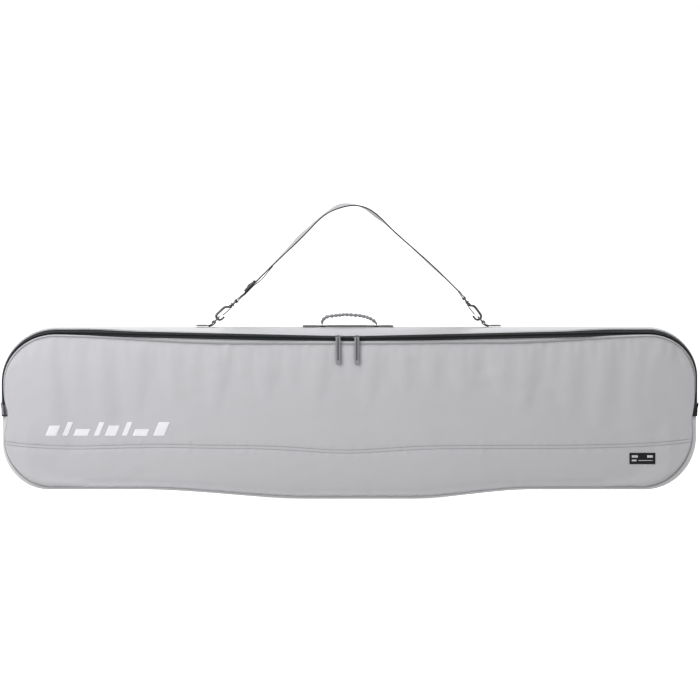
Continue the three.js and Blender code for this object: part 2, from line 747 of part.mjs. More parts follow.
const BAIL_BAR = SLIDER.clear + SLIDER.plate - 0.4 + SLIDER.bailRise - 0.9;

// The place on the zip's centre line at x, and the line's directions there.
function zipFrame(x) {
  const station = topStation(x, CROWN_Z, Math.PI / 2, 0);
  const along = new THREE.Vector3(1, 0, Math.sign(x) * ZIP.rise).normalize();
  const toFront = new THREE.Vector3(0, -Math.cos(station.pitch), -Math.sin(station.pitch));
  const out = along.clone().cross(toFront).negate();
  return { origin: [x, ZIP.y, CROWN_Z - station.zip], along, toFront, out };
}

function sliderAt(x) {
  const { origin, along, toFront } = zipFrame(x);
  const flipped = sliderBody().applyMatrix4(new THREE.Matrix4().makeRotationX(Math.PI));
  return placed(flipped, along.toArray(), toFront.toArray(), origin);
}

// Ring of wire round the slider's bail, with a tongue towards the pull.
const LINK = {
  ring: 2.2, rod: 0.6, tongueFrom: 2.2, tongueTo: 8.8, width: 6, thickness: 1.2, dip: degToRad(21),
};

function bailCentre(x) {
  const { origin, out } = zipFrame(x);
  return new THREE.Vector3(...origin).addScaledVector(out, BAIL_BAR);
}

function pullerLink(x) {
  const { ring, rod, tongueFrom, tongueTo, width, thickness, dip } = LINK;
  const centre = bailCentre(x);
  const loop = new THREE.TorusGeometry(ring, rod, 6, 16).rotateY(Math.PI / 2);
  const tongue = new THREE.BoxGeometry(width, tongueTo - tongueFrom, thickness)
    .translate(0, -(tongueFrom + tongueTo) / 2, 0)
    .rotateX(dip);
  return join(loop, tongue).translate(centre.x, centre.y, centre.z);
}

// Flat pull hanging from the link over the seam and down the panel, measured from the bail.
const PULL_ROUTE = [
  [-9.4, -3.8], [-11.9, -9], [-13.7, -16], [-15, -26], [-18, -40], [-21, -54], [-23.2, -66],
];

function pullerPull(x) {
  const centre = bailCentre(x);
  const curve = new THREE.CatmullRomCurve3(PULL_ROUTE.map(([y, z]) => new THREE.Vector3(0, y, z)));
  return loft(steps(8).map((t) => {
    const point = curve.getPointAt(t);
    const tangent = curve.getTangentAt(t);
    const half = PULL.width / 2;
    const y = centre.y + point.y;
    const z = centre.z + point.z;
    const at = (dx, off) => [x + dx, y - tangent.z * off, z + tangent.y * off];
    const [near, far] = [-PULL.thickness / 2, PULL.thickness / 2];
    return [at(-half, near), at(half, near), at(half, far), at(-half, far)];
  }));
}

for (const [side, x] of Object.entries(SLIDER_X)) {
  add(`zip_slider_${side}`, sliderAt(x), 'metal');
  add(`puller_link_${side}`, pullerLink(x), 'metal');
  add(`puller_pull_${side}`, pullerPull(x), 'webbing');
}

export default bag;
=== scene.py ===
"""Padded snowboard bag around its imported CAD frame. Metres, +X along the bag, -Y front, +Z up."""
import math

import bpy
import numpy as np
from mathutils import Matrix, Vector

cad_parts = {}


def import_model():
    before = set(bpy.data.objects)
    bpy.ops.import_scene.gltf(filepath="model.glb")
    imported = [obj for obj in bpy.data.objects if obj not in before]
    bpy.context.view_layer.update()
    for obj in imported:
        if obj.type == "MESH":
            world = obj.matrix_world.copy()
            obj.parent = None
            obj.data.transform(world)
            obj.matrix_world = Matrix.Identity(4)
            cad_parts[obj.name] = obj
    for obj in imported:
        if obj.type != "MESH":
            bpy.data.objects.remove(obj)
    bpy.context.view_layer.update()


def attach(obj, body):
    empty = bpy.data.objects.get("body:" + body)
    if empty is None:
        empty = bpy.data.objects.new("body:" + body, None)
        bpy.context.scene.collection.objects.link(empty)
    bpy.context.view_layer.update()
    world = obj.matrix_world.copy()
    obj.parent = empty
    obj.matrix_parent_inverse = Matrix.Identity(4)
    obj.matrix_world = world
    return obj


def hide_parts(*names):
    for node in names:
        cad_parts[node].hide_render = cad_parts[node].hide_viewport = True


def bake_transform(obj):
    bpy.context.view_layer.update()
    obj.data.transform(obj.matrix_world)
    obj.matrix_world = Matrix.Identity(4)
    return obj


MM = 0.001
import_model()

# ---- The bag's driving sizes, in millimetres, as the CAD frame has them -----------------------

HALF_LENGTH = 797.4     # half the length over the end gussets
CROWN_Z = 394           # top of the upper gusset
SAG = 21                # the bottom hangs this far below its own ends
SAG_LEFT = (-480, -90)
SAG_RIGHT = (420, 140)
SEAM_Y = 64             # front and back seams, from the middle plane
BULGE = 20              # the panels swell this far past their seams
FOLD_Z = 190            # the flap folds down about this level
FOOT_Y = 35             # the bottom is flat this far each side of the middle
RADIUS = {"top_left": 126, "top_right": 114, "bottom_left": 108, "bottom_right": 120}
SEAM_INSET = {"top": 37, "top_end": 19, "side": 7.5, "bottom": 7, "back": 14}
PINCH = 8.0             # the zip's ends draw the side seams in this far
LOW_RIGHT = 4.5
ZIP_Y = -50
ZIP_TOP = 25            # the zip's depth below the crown in the middle
ZIP_RISE = 0.0226       # its rise for each millimetre towards the ends
ZIP_FLAT = 20
ZIP_STRAIGHT = 600
ZIP_SIDE = 3.0
PITCH_TOP = math.radians(40)
PITCH_SIDE = math.radians(18)
PIPING_R = 1.25
PANEL_THICK = 6.6
GUSSET_THICK = 3.2

SLIDER_X = {"left": -26.0, "right": 17.0}
STRAP_WIDTH = 38.0
WEBBING = 2.4
RING_ROD = 1.8
HOOK_WIRE = 2.2
HOOK_PLAY = 2.5
STRAP_ENDS = {
    "left": {"bow": (-299.5, 416.8), "bar": (-312, 403.8), "angle": 42.7, "outward": -1},
    "right": {"bow": (295.5, 416.8), "bar": (308, 403.8), "angle": 127, "outward": 1},
}
STRAP_ROUTE = [
    (-244.9, 467.2), (-208.4, 503.9), (-172, 540.6), (-135.5, 577.3), (-99, 614), (-60, 650), (-27, 669),
    (5, 674), (36, 667), (72, 641), (109, 607), (150, 571), (195, 529), (222, 504), (250.6, 476.2),
]
TRIGLIDE_AT = 0.04
HANDLE_ROUTE = [
    (-63, 401), (-62.4, 407), (-55, 415.5), (-43, 418.6), (-26, 420.6), (-9, 422),
    (8, 421), (25, 419.5), (44, 414.5), (56, 407.5), (62, 401),
]

rng = np.random.default_rng(7)


# ---- Small maths ----------------------------------------------------------------------------------

def bell(x, centre, width):
    return np.exp(-(((np.asarray(x, float) - centre) / width) ** 2))


def smooth(x, a, b):
    t = np.clip((np.asarray(x, float) - a) / (b - a), 0, 1)
    return t * t * (3 - 2 * t)


def mix(a, b, t):
    return a + (b - a) * t


class Ripple:
    """Smooth random wave of one variable: a few sines of random phase."""

    def __init__(self, longest, shortest, count=7):
        self.k = 2 * np.pi / np.geomspace(longest, shortest, count)
        self.phase = rng.uniform(0, 2 * np.pi, count)
        self.size = rng.uniform(0.6, 1.0, count) / math.sqrt(count)

    def __call__(self, s):
        s = np.asarray(s, float)
        return sum(a * np.sin(k * s + p) for a, k, p in zip(self.size, self.k, self.phase))


# ---- The bag's outline --------------------------------------------------------------------------

def bottom_z(x):
    left = 1 - smooth(x, *SAG_LEFT)
    right = smooth(x, SAG_RIGHT[1], SAG_RIGHT[0])
    return SAG * np.maximum(left, right)


def top_seam_inset(x):
    """The front seam dips a little further from the crown towards the right than towards the left."""
    left = smooth(-np.asarray(x, float), 260, 710)
    right = smooth(x, 340, 735)
    return mix(SEAM_INSET["top"] - 1.5 * smooth(x, 60, 300), SEAM_INSET["top_end"], left + right)


def pinch(x, z):
    """How far the side seams are drawn in, most of all at the ends of the zip."""
    right = np.asarray(x, float) > 0
    low_right = LOW_RIGHT * right * (1 - smooth(z, 165, 225))
    return PINCH * np.where(right, 0.3, 1.0) * bell(z, FOLD_Z, 27) + low_right


def top_zip_inset(x):
    run = np.clip(np.abs(x) - ZIP_FLAT, 0, ZIP_STRAIGHT - ZIP_FLAT)
    return ZIP_TOP - ZIP_RISE * run


class Path:
    """Points of the outline with outward directions, from the left fold to the right fold."""

    def __init__(self, top, step=7.0, round_steps=34):
        self.top = top
        pieces = []
        left, right = ("top_left", "top_right") if top else ("bottom_left", "bottom_right")
        for name, sign in ((left, -1), (right, 1)):
            r = RADIUS[name]
            cx = sign * (HALF_LENGTH - r)
            cz = CROWN_Z - r if top else SAG + r
            turn = np.linspace(0, math.pi / 2, round_steps)
            ang = np.arctan2(np.sin(turn) * (1 if top else -1), np.cos(turn) * sign)
            side = 1 - turn / (math.pi / 2)
            corner = np.stack([cx + r * np.cos(ang), cz + r * np.sin(ang), ang, side], 1)
            z = np.linspace(FOLD_Z, cz, max(4, int(abs(cz - FOLD_Z) / 8)))[:-1]
            one = np.ones_like(z)
            outward = 0 if sign > 0 else math.pi
            upright = np.stack([one * sign * HALF_LENGTH, z, one * outward, one], 1)
            run = np.concatenate([upright, corner])
            pieces.append(run if sign < 0 else run[::-1])
        x0, x1 = pieces[0][-1, 0], pieces[1][0, 0]
        x = np.linspace(x0, x1, int((x1 - x0) / step))[1:-1]
        if top:
            one = np.ones_like(x)
            flat = np.stack([x, CROWN_Z * one, math.pi / 2 * one, 0 * one], 1)
        else:
            slope = (bottom_z(x + 1) - bottom_z(x - 1)) / 2
            flat = np.stack([x, bottom_z(x), np.arctan2(-1, slope), np.zeros_like(x)], 1)
        self._set(np.concatenate([pieces[0], flat, pieces[1]]))

    def _set(self, rows):
        self.x, self.z, ang, side = rows.T
        self.nx, self.nz = np.cos(ang), np.sin(ang)
        way = smooth(side, 0, 1)
        self.way = way
        if self.top:
            inset = mix(top_seam_inset(self.x), SEAM_INSET["side"], way)
            self.seam = inset + pinch(self.x, self.z) * way
            self.back = mix(SEAM_INSET["back"], SEAM_INSET["side"], way)
        else:
            self.back = mix(SEAM_INSET["bottom"], SEAM_INSET["side"], way) + 4 * np.sin(np.pi * side)
            self.seam = self.back + pinch(self.x, self.z) * way
        self.foot = mix(0.0 if self.top else FOOT_Y, 0, way)
        at_end = bell(self.z, FOLD_Z, 30) * way
        self.zip = mix(top_zip_inset(self.x), ZIP_SIDE, way) + 5.5 * at_end
        self.pitch = mix(PITCH_TOP, PITCH_SIDE, way) + math.radians(38) * at_end
        step = np.hypot(np.diff(self.x), np.diff(self.z))
        self.s = np.concatenate([[0], np.cumsum(step)])

    def behind(self, y, inset):
        """Points at depth inset behind the outline, as rows of x, y, z."""
        y = np.broadcast_to(y, self.x.shape)
        return np.stack([self.x - self.nx * inset, y, self.z - self.nz * inset], -1)

    def near_zip(self, across, out):
        """Points beside the zip's centre line: across is towards the front seam, out is off the tape."""
        c, s = np.cos(self.pitch), np.sin(self.pitch)
        return self.behind(ZIP_Y - across * c - out * s, self.zip + across * s - out * c)


UP = Path(True)
LOW = Path(False)


# ---- Meshes from grids --------------------------------------------------------------------------

def lengths(grid, axis):
    step = np.linalg.norm(np.diff(grid, axis=axis), axis=-1).mean(1 - axis)
    return np.concatenate([[0], np.cumsum(step)])


def mesh_object(name, verts, faces, uv=None):
    data = bpy.data.meshes.new(name)
    data.from_pydata((np.asarray(verts) * MM).tolist(), [], faces)
    if uv is not None:
        layer = data.uv_layers.new(name="UVMap")
        loops = np.empty(len(data.loops), int)
        data.loops.foreach_get("vertex_index", loops)
        layer.data.foreach_set("uv", (np.asarray(uv)[loops] * MM).astype(np.float32).ravel())
    data.validate()
    obj = bpy.data.objects.new(name, data)
    bpy.context.scene.collection.objects.link(obj)
    data.shade_smooth()
    return obj


def grid_faces(rows, cols, start=0, flip=False):
    faces = []
    for i in range(rows - 1):
        a, b = start + i * cols, start + (i + 1) * cols
        for j in range(cols - 1):
            f = (a + j, a + j + 1, b + j + 1, b + j)
            faces.append(f[::-1] if flip else f)
    return faces


def ring_faces(count, sides, start=0, closed=False):
    """Faces along a run of rings; an open run is capped at both ends."""
    faces = []
    for i in range(count if closed else count - 1):
        a, b = start + i * sides, start + (i + 1) % count * sides
        for k in range(sides):
            m = (k + 1) % sides
            faces.append((a + k, b + k, b + m, a + m))
    if not closed:
        faces.append(tuple(start + k for k in range(sides)))
        faces.append(tuple(start + (count - 1) * sides + k for k in range(sides))[::-1])
    return faces


def slab(name, outer, inner):
    """Closed sheet between two grids of the same shape. It notes which faces are the inner side, for a
    second material slot.
    """
    rows, cols = outer.shape[:2]
    n = rows * cols
    faces = grid_faces(rows, cols) + grid_faces(rows, cols, n, flip=True)
    inner_from = len(faces) // 2
    rim = []
    for j in (0, cols - 1):
        for i in range(rows - 1):
            a, b = i * cols + j, (i + 1) * cols + j
            f = (a, b, n + b, n + a)
            rim.append(f if j == 0 else f[::-1])
    for i in (0, rows - 1):
        for j in range(cols - 1):
            a = i * cols + j
            f = (a, n + a, n + a + 1, a + 1)
            rim.append(f if i == 0 else f[::-1])
    u, v = lengths(outer, 0), lengths(outer, 1)
    uv = np.stack(np.meshgrid(u, v, indexing="ij"), -1).reshape(-1, 2)
    verts = np.concatenate([outer.reshape(-1, 3), inner.reshape(-1, 3)])
    obj = mesh_object(name, verts, faces + rim, np.concatenate([uv, uv]))
    index = np.zeros(len(obj.data.polygons), np.int32)
    index[inner_from:len(faces)] = 1
    obj["inner_faces"] = [inner_from, len(faces)]
    face_outward(obj)
    return obj


def face_outward(obj):
    """Turns the whole mesh over if its faces point in."""
    data = obj.data
    co = np.array([v.co for v in data.vertices])
    data.calc_loop_triangles()
    tri = np.array([t.vertices[:] for t in data.loop_triangles])
    a, b, c = co[tri[:, 0]], co[tri[:, 1]], co[tri[:, 2]]
    if (a * np.cross(b, c)).sum() < 0:
        data.flip_normals()


def tube(name, centres, radius, sides=10, closed=False, up=(0, 1, 0)):
    """Round rod along points, in millimetres. radius may be a number or one per point."""
    centres = np.asarray(centres, float)
    n = len(centres)
    if closed:
        tangent = np.roll(centres, -1, 0) - np.roll(centres, 1, 0)
    else:
        tangent = np.gradient(centres, axis=0)
    tangent /= np.linalg.norm(tangent, axis=1)[:, None]
    side = np.cross(tangent, np.asarray(up, float))
    side /= np.linalg.norm(side, axis=1)[:, None]
    other = np.cross(side, tangent)
    turn = np.linspace(0, 2 * np.pi, sides, endpoint=False)
    radius = np.broadcast_to(radius, n)
    rings = (centres[:, None] + side[:, None] * np.cos(turn)[None, :, None] * radius[:, None, None]
             + other[:, None] * np.sin(turn)[None, :, None] * radius[:, None, None])
    s = np.concatenate([[0], np.cumsum(np.linalg.norm(np.diff(centres, axis=0), axis=1))])
    around = turn * float(np.mean(radius))
    uv = np.stack(np.meshgrid(s, around, indexing="ij"), -1).reshape(-1, 2)
    obj = mesh_object(name, rings.reshape(-1, 3), ring_faces(n, sides, closed=closed), uv)
    face_outward(obj)
    return obj


def joined(name, objects):
    """One object of several, keeping their faces and UVs."""
    verts, faces, uvs = [], [], []
    start = 0
    for obj in objects:
        data = obj.data
        co = np.array([v.co for v in data.vertices]) / MM
        layer = data.uv_layers.active
        uv = np.zeros((len(co), 2))
        if layer:
            for poly in data.polygons:
                for li in poly.loop_indices:
                    uv[data.loops[li].vertex_index] = np.array(layer.data[li].uv) / MM
        verts.append(co)
        uvs.append(uv)
        faces += [tuple(v + start for v in p.vertices) for p in data.polygons]
        start += len(co)
        bpy.data.objects.remove(obj)
    return mesh_object(name, np.concatenate(verts), faces, np.concatenate(uvs))


def bevelled(obj, width, segments=2, angle=40):
    mod = obj.modifiers.new("bevel", "BEVEL")
    mod.width = width * MM
    mod.segments = segments
    mod.limit_method = "ANGLE"
    mod.angle_limit = math.radians(angle)
    return obj


# ---- Materials --------------------------------------------------------------------------------------

class Nodes:
    """Short hand for building one node material."""

    def __init__(self, name, roughness=0.8, metallic=0.0):
        self.mat = bpy.data.materials.new(name)
        self.mat.use_nodes = True
        self.tree = self.mat.node_tree
        self.bsdf = self.tree.nodes["Principled BSDF"]
        self.bsdf.inputs["Roughness"].default_value = roughness
        self.bsdf.inputs["Metallic"].default_value = metallic

    def add(self, kind, **values):
        node = self.tree.nodes.new(kind)
        for key, value in values.items():
            setattr(node, key, value)
        return node

    def link(self, a, b):
        self.tree.links.new(a, b)

    def math(self, op, a, b=None):
        node = self.add("ShaderNodeMath", operation=op)
        for socket, value in zip(node.inputs, (a, b)):
            if value is None:
                continue
            if isinstance(value, (int, float)):
                socket.default_value = value
            else:
                self.link(value, socket)
        return node.outputs[0]

    def uv(self):
        node = self.add("ShaderNodeUVMap", uv_map="UVMap")
        split = self.add("ShaderNodeSeparateXYZ")
        self.link(node.outputs[0], split.inputs[0])
        return split.outputs[0], split.outputs[1]

    def noise(self, scale, detail, roughness=0.5):
        node = self.add("ShaderNodeTexNoise")
        node.inputs["Scale"].default_value = scale
        node.inputs["Detail"].default_value = detail
        node.inputs["Roughness"].default_value = roughness
        self.link(self.add("ShaderNodeTexCoord").outputs["Object"], node.inputs["Vector"])
        return node.outputs["Fac"]

    def between(self, factor, low, high):
        """A colour between two, or a roughness between two numbers, by a factor."""
        if isinstance(low, (int, float)):
            node = self.add("ShaderNodeMapRange")
            self.link(factor, node.inputs["Value"])
            node.inputs["To Min"].default_value = low
            node.inputs["To Max"].default_value = high
            return node.outputs["Result"]
        node = self.add("ShaderNodeMix", data_type="RGBA")
        self.link(factor, node.inputs["Factor"])
        node.inputs["A"].default_value = (*low, 1)
        node.inputs["B"].default_value = (*high, 1)
        return node.outputs["Result"]

    def bump(self, height, strength, distance, under=None):
        node = self.add("ShaderNodeBump")
        node.inputs["Strength"].default_value = strength
        node.inputs["Distance"].default_value = distance
        self.link(height, node.inputs["Height"])
        if under is not None:
            self.link(under, node.inputs["Normal"])
        return node.outputs["Normal"]


def scaled(colour, k):
    return tuple(c * k for c in colour)


def woven(name, colour, pitch, depth, sheen=0.25, roughness=0.85, ribs=1.0, mottle=0.06, heather=0.0,
          gloss=0.3):
    """Plain weave: two sets of yarns at a pitch in millimetres, with mottled dye and soft wear."""
    m = Nodes(name, roughness)
    u, v = m.uv()
    k = 2 * math.pi / (pitch * MM)
    warp = m.math("SINE", m.math("MULTIPLY", u, k))
    weft = m.math("SINE", m.math("MULTIPLY", v, k * ribs))
    weave = m.math("ADD", m.math("MULTIPLY", m.math("MULTIPLY", warp, weft), 0.5), 0.5)
    cloud = m.noise(6.0, 4.0, 0.6)
    grain = m.noise(900.0, 2.0, 0.7)
    tone = m.math("ADD", m.math("MULTIPLY", cloud, 0.6), m.math("MULTIPLY", grain, 0.4))
    base = m.between(tone, scaled(colour, 1 - mottle), scaled(colour, 1 + mottle))
    if heather:
        flecks = m.noise(1400.0, 1.0, 0.5)
        ramp = m.math("GREATER_THAN", flecks, 0.56)
        blend = m.add("ShaderNodeMix", data_type="RGBA")
        m.link(ramp, blend.inputs["Factor"])
        m.link(base, blend.inputs["A"])
        blend.inputs["B"].default_value = (*scaled(colour, 1 + heather), 1)
        base = blend.outputs["Result"]
    # Painted shade: the colour is darkened where the weave's bump is low, in the hollows between the
    # yarns.
    shade = m.add("ShaderNodeMix", data_type="RGBA", blend_type="MULTIPLY")
    shade.inputs["Factor"].default_value = 0.35
    m.link(base, shade.inputs["A"])
    m.link(m.between(weave, (0.72, 0.72, 0.72), (1, 1, 1)), shade.inputs["B"])
    m.link(shade.outputs["Result"], m.bsdf.inputs["Base Color"])
    m.link(m.between(cloud, roughness - 0.07, roughness + 0.07), m.bsdf.inputs["Roughness"])
    m.bsdf.inputs["Sheen Weight"].default_value = sheen
    m.bsdf.inputs["Sheen Roughness"].default_value = 0.5
    m.bsdf.inputs["Specular IOR Level"].default_value = gloss
    coarse = m.bump(m.noise(55.0, 3.0, 0.55), 0.25, 0.0006)
    m.link(m.bump(weave, 0.55, depth * MM, coarse), m.bsdf.inputs["Normal"])
    return m.mat


def plated(name, colour, roughness=0.28):
    """Plated die-cast metal: slightly uneven, duller where it has rubbed."""
    m = Nodes(name, roughness, 1.0)
    cloud = m.noise(70.0, 4.0, 0.6)
    m.link(m.between(cloud, scaled(colour, 0.8), scaled(colour, 1.25)), m.bsdf.inputs["Base Color"])
    wear = m.between(m.noise(240.0, 3.0, 0.6), roughness - 0.08, roughness + 0.14)
    m.link(wear, m.bsdf.inputs["Roughness"])
    m.link(m.bump(m.noise(500.0, 2.0, 0.5), 0.12, 0.0001), m.bsdf.inputs["Normal"])
    return m.mat


def moulded(name, colour, roughness=0.42, gloss=0.5):
    """Moulded plastic with a fine spark-eroded texture."""
    m = Nodes(name, roughness)
    m.bsdf.inputs["Specular IOR Level"].default_value = gloss
    cloudy = m.between(m.noise(60.0, 3.0, 0.6), scaled(colour, 0.85), scaled(colour, 1.3))
    wear = m.between(m.noise(300.0, 2.0, 0.6), roughness - 0.06, roughness + 0.08)
    m.link(cloudy, m.bsdf.inputs["Base Color"])
    m.link(wear, m.bsdf.inputs["Roughness"])
    m.link(m.bump(m.noise(1800.0, 2.0, 0.6), 0.3, 0.00008), m.bsdf.inputs["Normal"])
    return m.mat


def printed(name, colour):
    """Screen-printed ink: flat, a little cracked by the weave under it."""
    m = Nodes(name, 0.6)
    u, v = m.uv()
    k = 2 * math.pi / (1.1 * MM)
    wave_u, wave_v = [m.math("SINE", m.math("MULTIPLY", along, k)) for along in (u, v)]
    weave = m.math("MULTIPLY", wave_u, wave_v)
    worn = m.between(m.noise(40.0, 4.0, 0.65), scaled(colour, 0.94), scaled(colour, 1.03))
    m.link(worn, m.bsdf.inputs["Base Color"])
    m.link(m.bump(weave, 0.25, 0.00006), m.bsdf.inputs["Normal"])
    return m.mat


SHELL_GREY = (0.248, 0.249, 0.258)
WEBBING_GREY = (0.125, 0.127, 0.134)

MATERIAL = {
    "shell_fabric": woven("shell_fabric", SHELL_GREY, 1.1, 0.10, sheen=0.2),
    # The piping cord's colour is the shell fabric darkened: painted shade of the seam's crease.
    "piping": woven("piping_seam_shade", scaled(SHELL_GREY, 0.58), 0.9, 0.08),
    "lining_fabric": woven("lining_fabric", (0.14, 0.143, 0.155), 0.8, 0.05, sheen=0.1, roughness=0.7),
    "zip_tape": woven("zip_tape", (0.004, 0.0045, 0.005), 1.4, 0.10, sheen=0.0, ribs=0.5, gloss=0.12),
    "zip_coil": moulded("zip_coil", (0.006, 0.0065, 0.007), 0.5, gloss=0.22),
    "webbing": woven("webbing", WEBBING_GREY, 2.2, 0.22, ribs=0.45, mottle=0.1),
    # Darker webbing: painted shade down the pull's groove, and along the webbing's edges a dark edge with
    # painted shade on it.
    "webbing_dark_and_shade": woven("webbing_dark_and_shade", (0.014, 0.0145, 0.016), 2.0, 0.22, sheen=0.0, ribs=0.45),
    "heather": woven("heather", (0.075, 0.077, 0.082), 1.4, 0.16, heather=1.8),
    "metal": plated("metal", (0.055, 0.055, 0.058)),
    "plastic": moulded("plastic", (0.008, 0.008, 0.009)),
    "label": woven("label", (0.005, 0.005, 0.006), 0.6, 0.05, sheen=0.0, gloss=0.15),
    "ink": printed("ink", (0.37, 0.37, 0.385)),
    "label_mark": printed("label_mark", (0.26, 0.26, 0.27)),
    "pull": woven("pull", (0.085, 0.087, 0.093), 1.6, 0.2, ribs=0.45, heather=0.8),
    "thread": woven("thread", (0.07, 0.071, 0.075), 0.5, 0.05),
    "thread_light": woven("thread_light", scaled(SHELL_GREY, 0.85), 0.5, 0.05),
}


def darken(obj, inside):
    """Second material where inside(how far across the webbing, its whole width) is true. That material is
    darker: painted shade down the pull's groove, and along the webbing's edges a dark edge with painted
    shade on it.
    """
    layer = obj.data.uv_layers.active.data
    middle_v = [np.mean([layer[i].uv[1] for i in p.loop_indices]) for p in obj.data.polygons]
    across = np.array(middle_v) / MM
    for poly, v in zip(obj.data.polygons, across):
        if inside(v, across.max()):
            poly.material_index = 1


# Edge strips of the webbing: a dark edge with painted shade.
def selvedges_and_edge_shade(v, width):
    return v < 1.5 or v > width - 1.1


# Middle strip of the pull: painted shade down its groove.
def middle_groove_shade(v, width):
    return abs(v - width / 2) < 1.0


def finish_piece(obj, material, body=None, nodes=(), inner=None, edge=None):
    """Material, second material slot, body and replaced nodes of a piece."""
    obj.data.materials.clear()
    obj.data.materials.append(MATERIAL[material])
    if inner:
        obj.data.materials.append(MATERIAL[inner])
        start, end = obj["inner_faces"]
        for poly in obj.data.polygons[start:end]:
            poly.material_index = 1
    # The edge material is darker: painted shade on the strips that darken picks.
    if edge:
        obj.data.materials.append(MATERIAL[edge])
        darken(obj, middle_groove_shade if material == "pull" else selvedges_and_edge_shade)
    if "inner_faces" in obj:
        del obj["inner_faces"]
    if body:
        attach(obj, body)
    if nodes:
        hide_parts(*nodes)
    return obj


# ---- Panels -------------------------------------------------------------------------------------

EDGE_X = HALF_LENGTH - SEAM_INSET["side"]


def stitch_z(x):
    """Height of the double-stitched seam across the front panel."""
    share = np.asarray(x, float) / 788
    waves = 2.5 * bell(x, -430, 95) - 2 * bell(x, -640, 80) - 10.5 * bell(x, -5, 130)
    return 120.5 + waves + 15 * np.clip(share, 0, 1) ** 7 + 9 * np.clip(-share, 0, 1) ** 14


def seam_line(path, inset):
    """x and z of a seam as the corners alone would have it."""
    p = path.behind(0, inset)
    order = np.argsort(p[:, 0], kind="stable")
    keep = order[np.abs(p[order, 0]) <= EDGE_X + 0.01]
    return p[keep, 0], p[keep, 2]


def edge_heights(x, path, inset, side_z):
    """Height of the seam above x; beyond the corner arcs' ends it stops where the upright side begins."""
    px, pz = seam_line(path, inset)
    grid = np.clip(x, px.min(), px.max())
    px, first = np.unique(np.round(px, 3), return_index=True)
    pz = pz[first]
    z = np.interp(grid, px, pz)
    z[0], z[-1] = side_z
    return z


def panel_columns():
    """Column positions: even along the bag, closer and closer towards the upright ends."""
    t = np.linspace(0, math.pi / 2, 36)
    corner = 112 * (1 - np.cos(t))
    left = -EDGE_X + corner
    count = int((EDGE_X - 112) * 2 / 4.6)
    middle = np.linspace(left[-1], -left[-1], count)[1:-1]
    return np.concatenate([left, middle, -left[::-1]])


BROAD_X, BROAD_Z = Ripple(620, 170), Ripple(260, 90)
SOFT_A, SOFT_B = Ripple(240, 70), Ripple(150, 60)
PUCKER_TOP, PUCKER_LOW = Ripple(64, 20, 9), Ripple(74, 22, 9)
PUCKER_SEAM = Ripple(46, 16, 8)


def panel_edges(x, front):
    """Heights of a panel's lower and upper seams at x."""
    top_inset = UP.seam if front else UP.back
    top_inset = top_inset - (pinch(UP.x, UP.z) * UP.way if front else 0)
    low_z = edge_heights(x, LOW, LOW.back, (SAG + RADIUS["bottom_left"], SAG + RADIUS["bottom_right"]))
    top_z = edge_heights(x, UP, top_inset, (CROWN_Z - RADIUS["top_left"], CROWN_Z - RADIUS["top_right"]))
    return low_z, top_z


def swelling(x, up):
    """How far the foam pushes the fabric out, from its seams to its middle."""
    return BULGE * np.maximum(1 - np.abs(x / EDGE_X) ** 5, 0) * (1 - np.abs(2 * up - 1) ** 2.4)


def cubic(rows, at):
    """Catmull-Rom values between rows at fractional row numbers."""
    at = np.clip(at, 0, len(rows) - 1.001)
    i = at.astype(int)
    t = (at - i)[:, None]
    p = [rows[np.clip(i + k, 0, len(rows) - 1)] for k in (-1, 0, 1, 2)]
    bend = 2 * p[0] - 5 * p[1] + 4 * p[2] - p[3] + t * (3 * (p[1] - p[2]) + p[3] - p[0])
    return p[1] + 0.5 * t * (p[2] - p[0] + t * bend)


CLOTH_COLS, CLOTH_ROWS, CLOTH_FRAMES = 150, 34, 34
CLOTH_SLACK = 0.0035


def cloth_fall(front):
    """Outward shift of a panel's fabric, simulated held at its seams and pushed from inside."""
    x = np.linspace(-EDGE_X, EDGE_X, CLOTH_COLS)
    up = np.linspace(0, 1, CLOTH_ROWS)
    low_z, top_z = panel_edges(x, front)
    sign = -1 if front else 1
    rest = SEAM_Y + swelling(x[:, None], up[None, :])
    z = low_z[:, None] + (top_z - low_z)[:, None] * up[None, :]
    verts = np.stack([np.repeat(x[:, None], CLOTH_ROWS, 1), sign * rest, z], -1).reshape(-1, 3)
    obj = mesh_object("cloth", verts, grid_faces(CLOTH_COLS, CLOTH_ROWS, flip=not front))
    col, row = np.divmod(np.arange(len(verts)), CLOTH_ROWS)
    rim = (col == 0) | (col == CLOTH_COLS - 1) | (row == 0) | (row == CLOTH_ROWS - 1)
    group = obj.vertex_groups.new(name="seams")
    group.add(np.flatnonzero(rim).tolist(), 1.0, "REPLACE")
    cloth = obj.modifiers.new("cloth", "CLOTH")
    cloth.point_cache.frame_end = CLOTH_FRAMES
    settings = cloth.settings
    settings.quality = 6
    settings.mass = 0.4
    settings.tension_stiffness = settings.compression_stiffness = 25
    settings.bending_stiffness = 6
    settings.air_damping = 3
    settings.vertex_group_mass = "seams"
    settings.shrink_min = -CLOTH_SLACK
    settings.use_pressure = True
    settings.uniform_pressure_force = 1.2
    cloth.collision_settings.use_collision = False
    scene = bpy.context.scene
    for frame_number in range(1, CLOTH_FRAMES + 1):
        scene.frame_set(frame_number)
    fallen = obj.evaluated_get(bpy.context.evaluated_depsgraph_get()).to_mesh()
    y = np.array([v.co.y for v in fallen.vertices]) / MM
    bpy.data.objects.remove(obj)
    scene.frame_set(1)
    shift = (sign * y).reshape(CLOTH_COLS, CLOTH_ROWS) - rest
    shift = shift - np.median(shift) * (1 - np.abs(2 * up - 1) ** 2.4)
    return np.clip(shift, -5, 5)


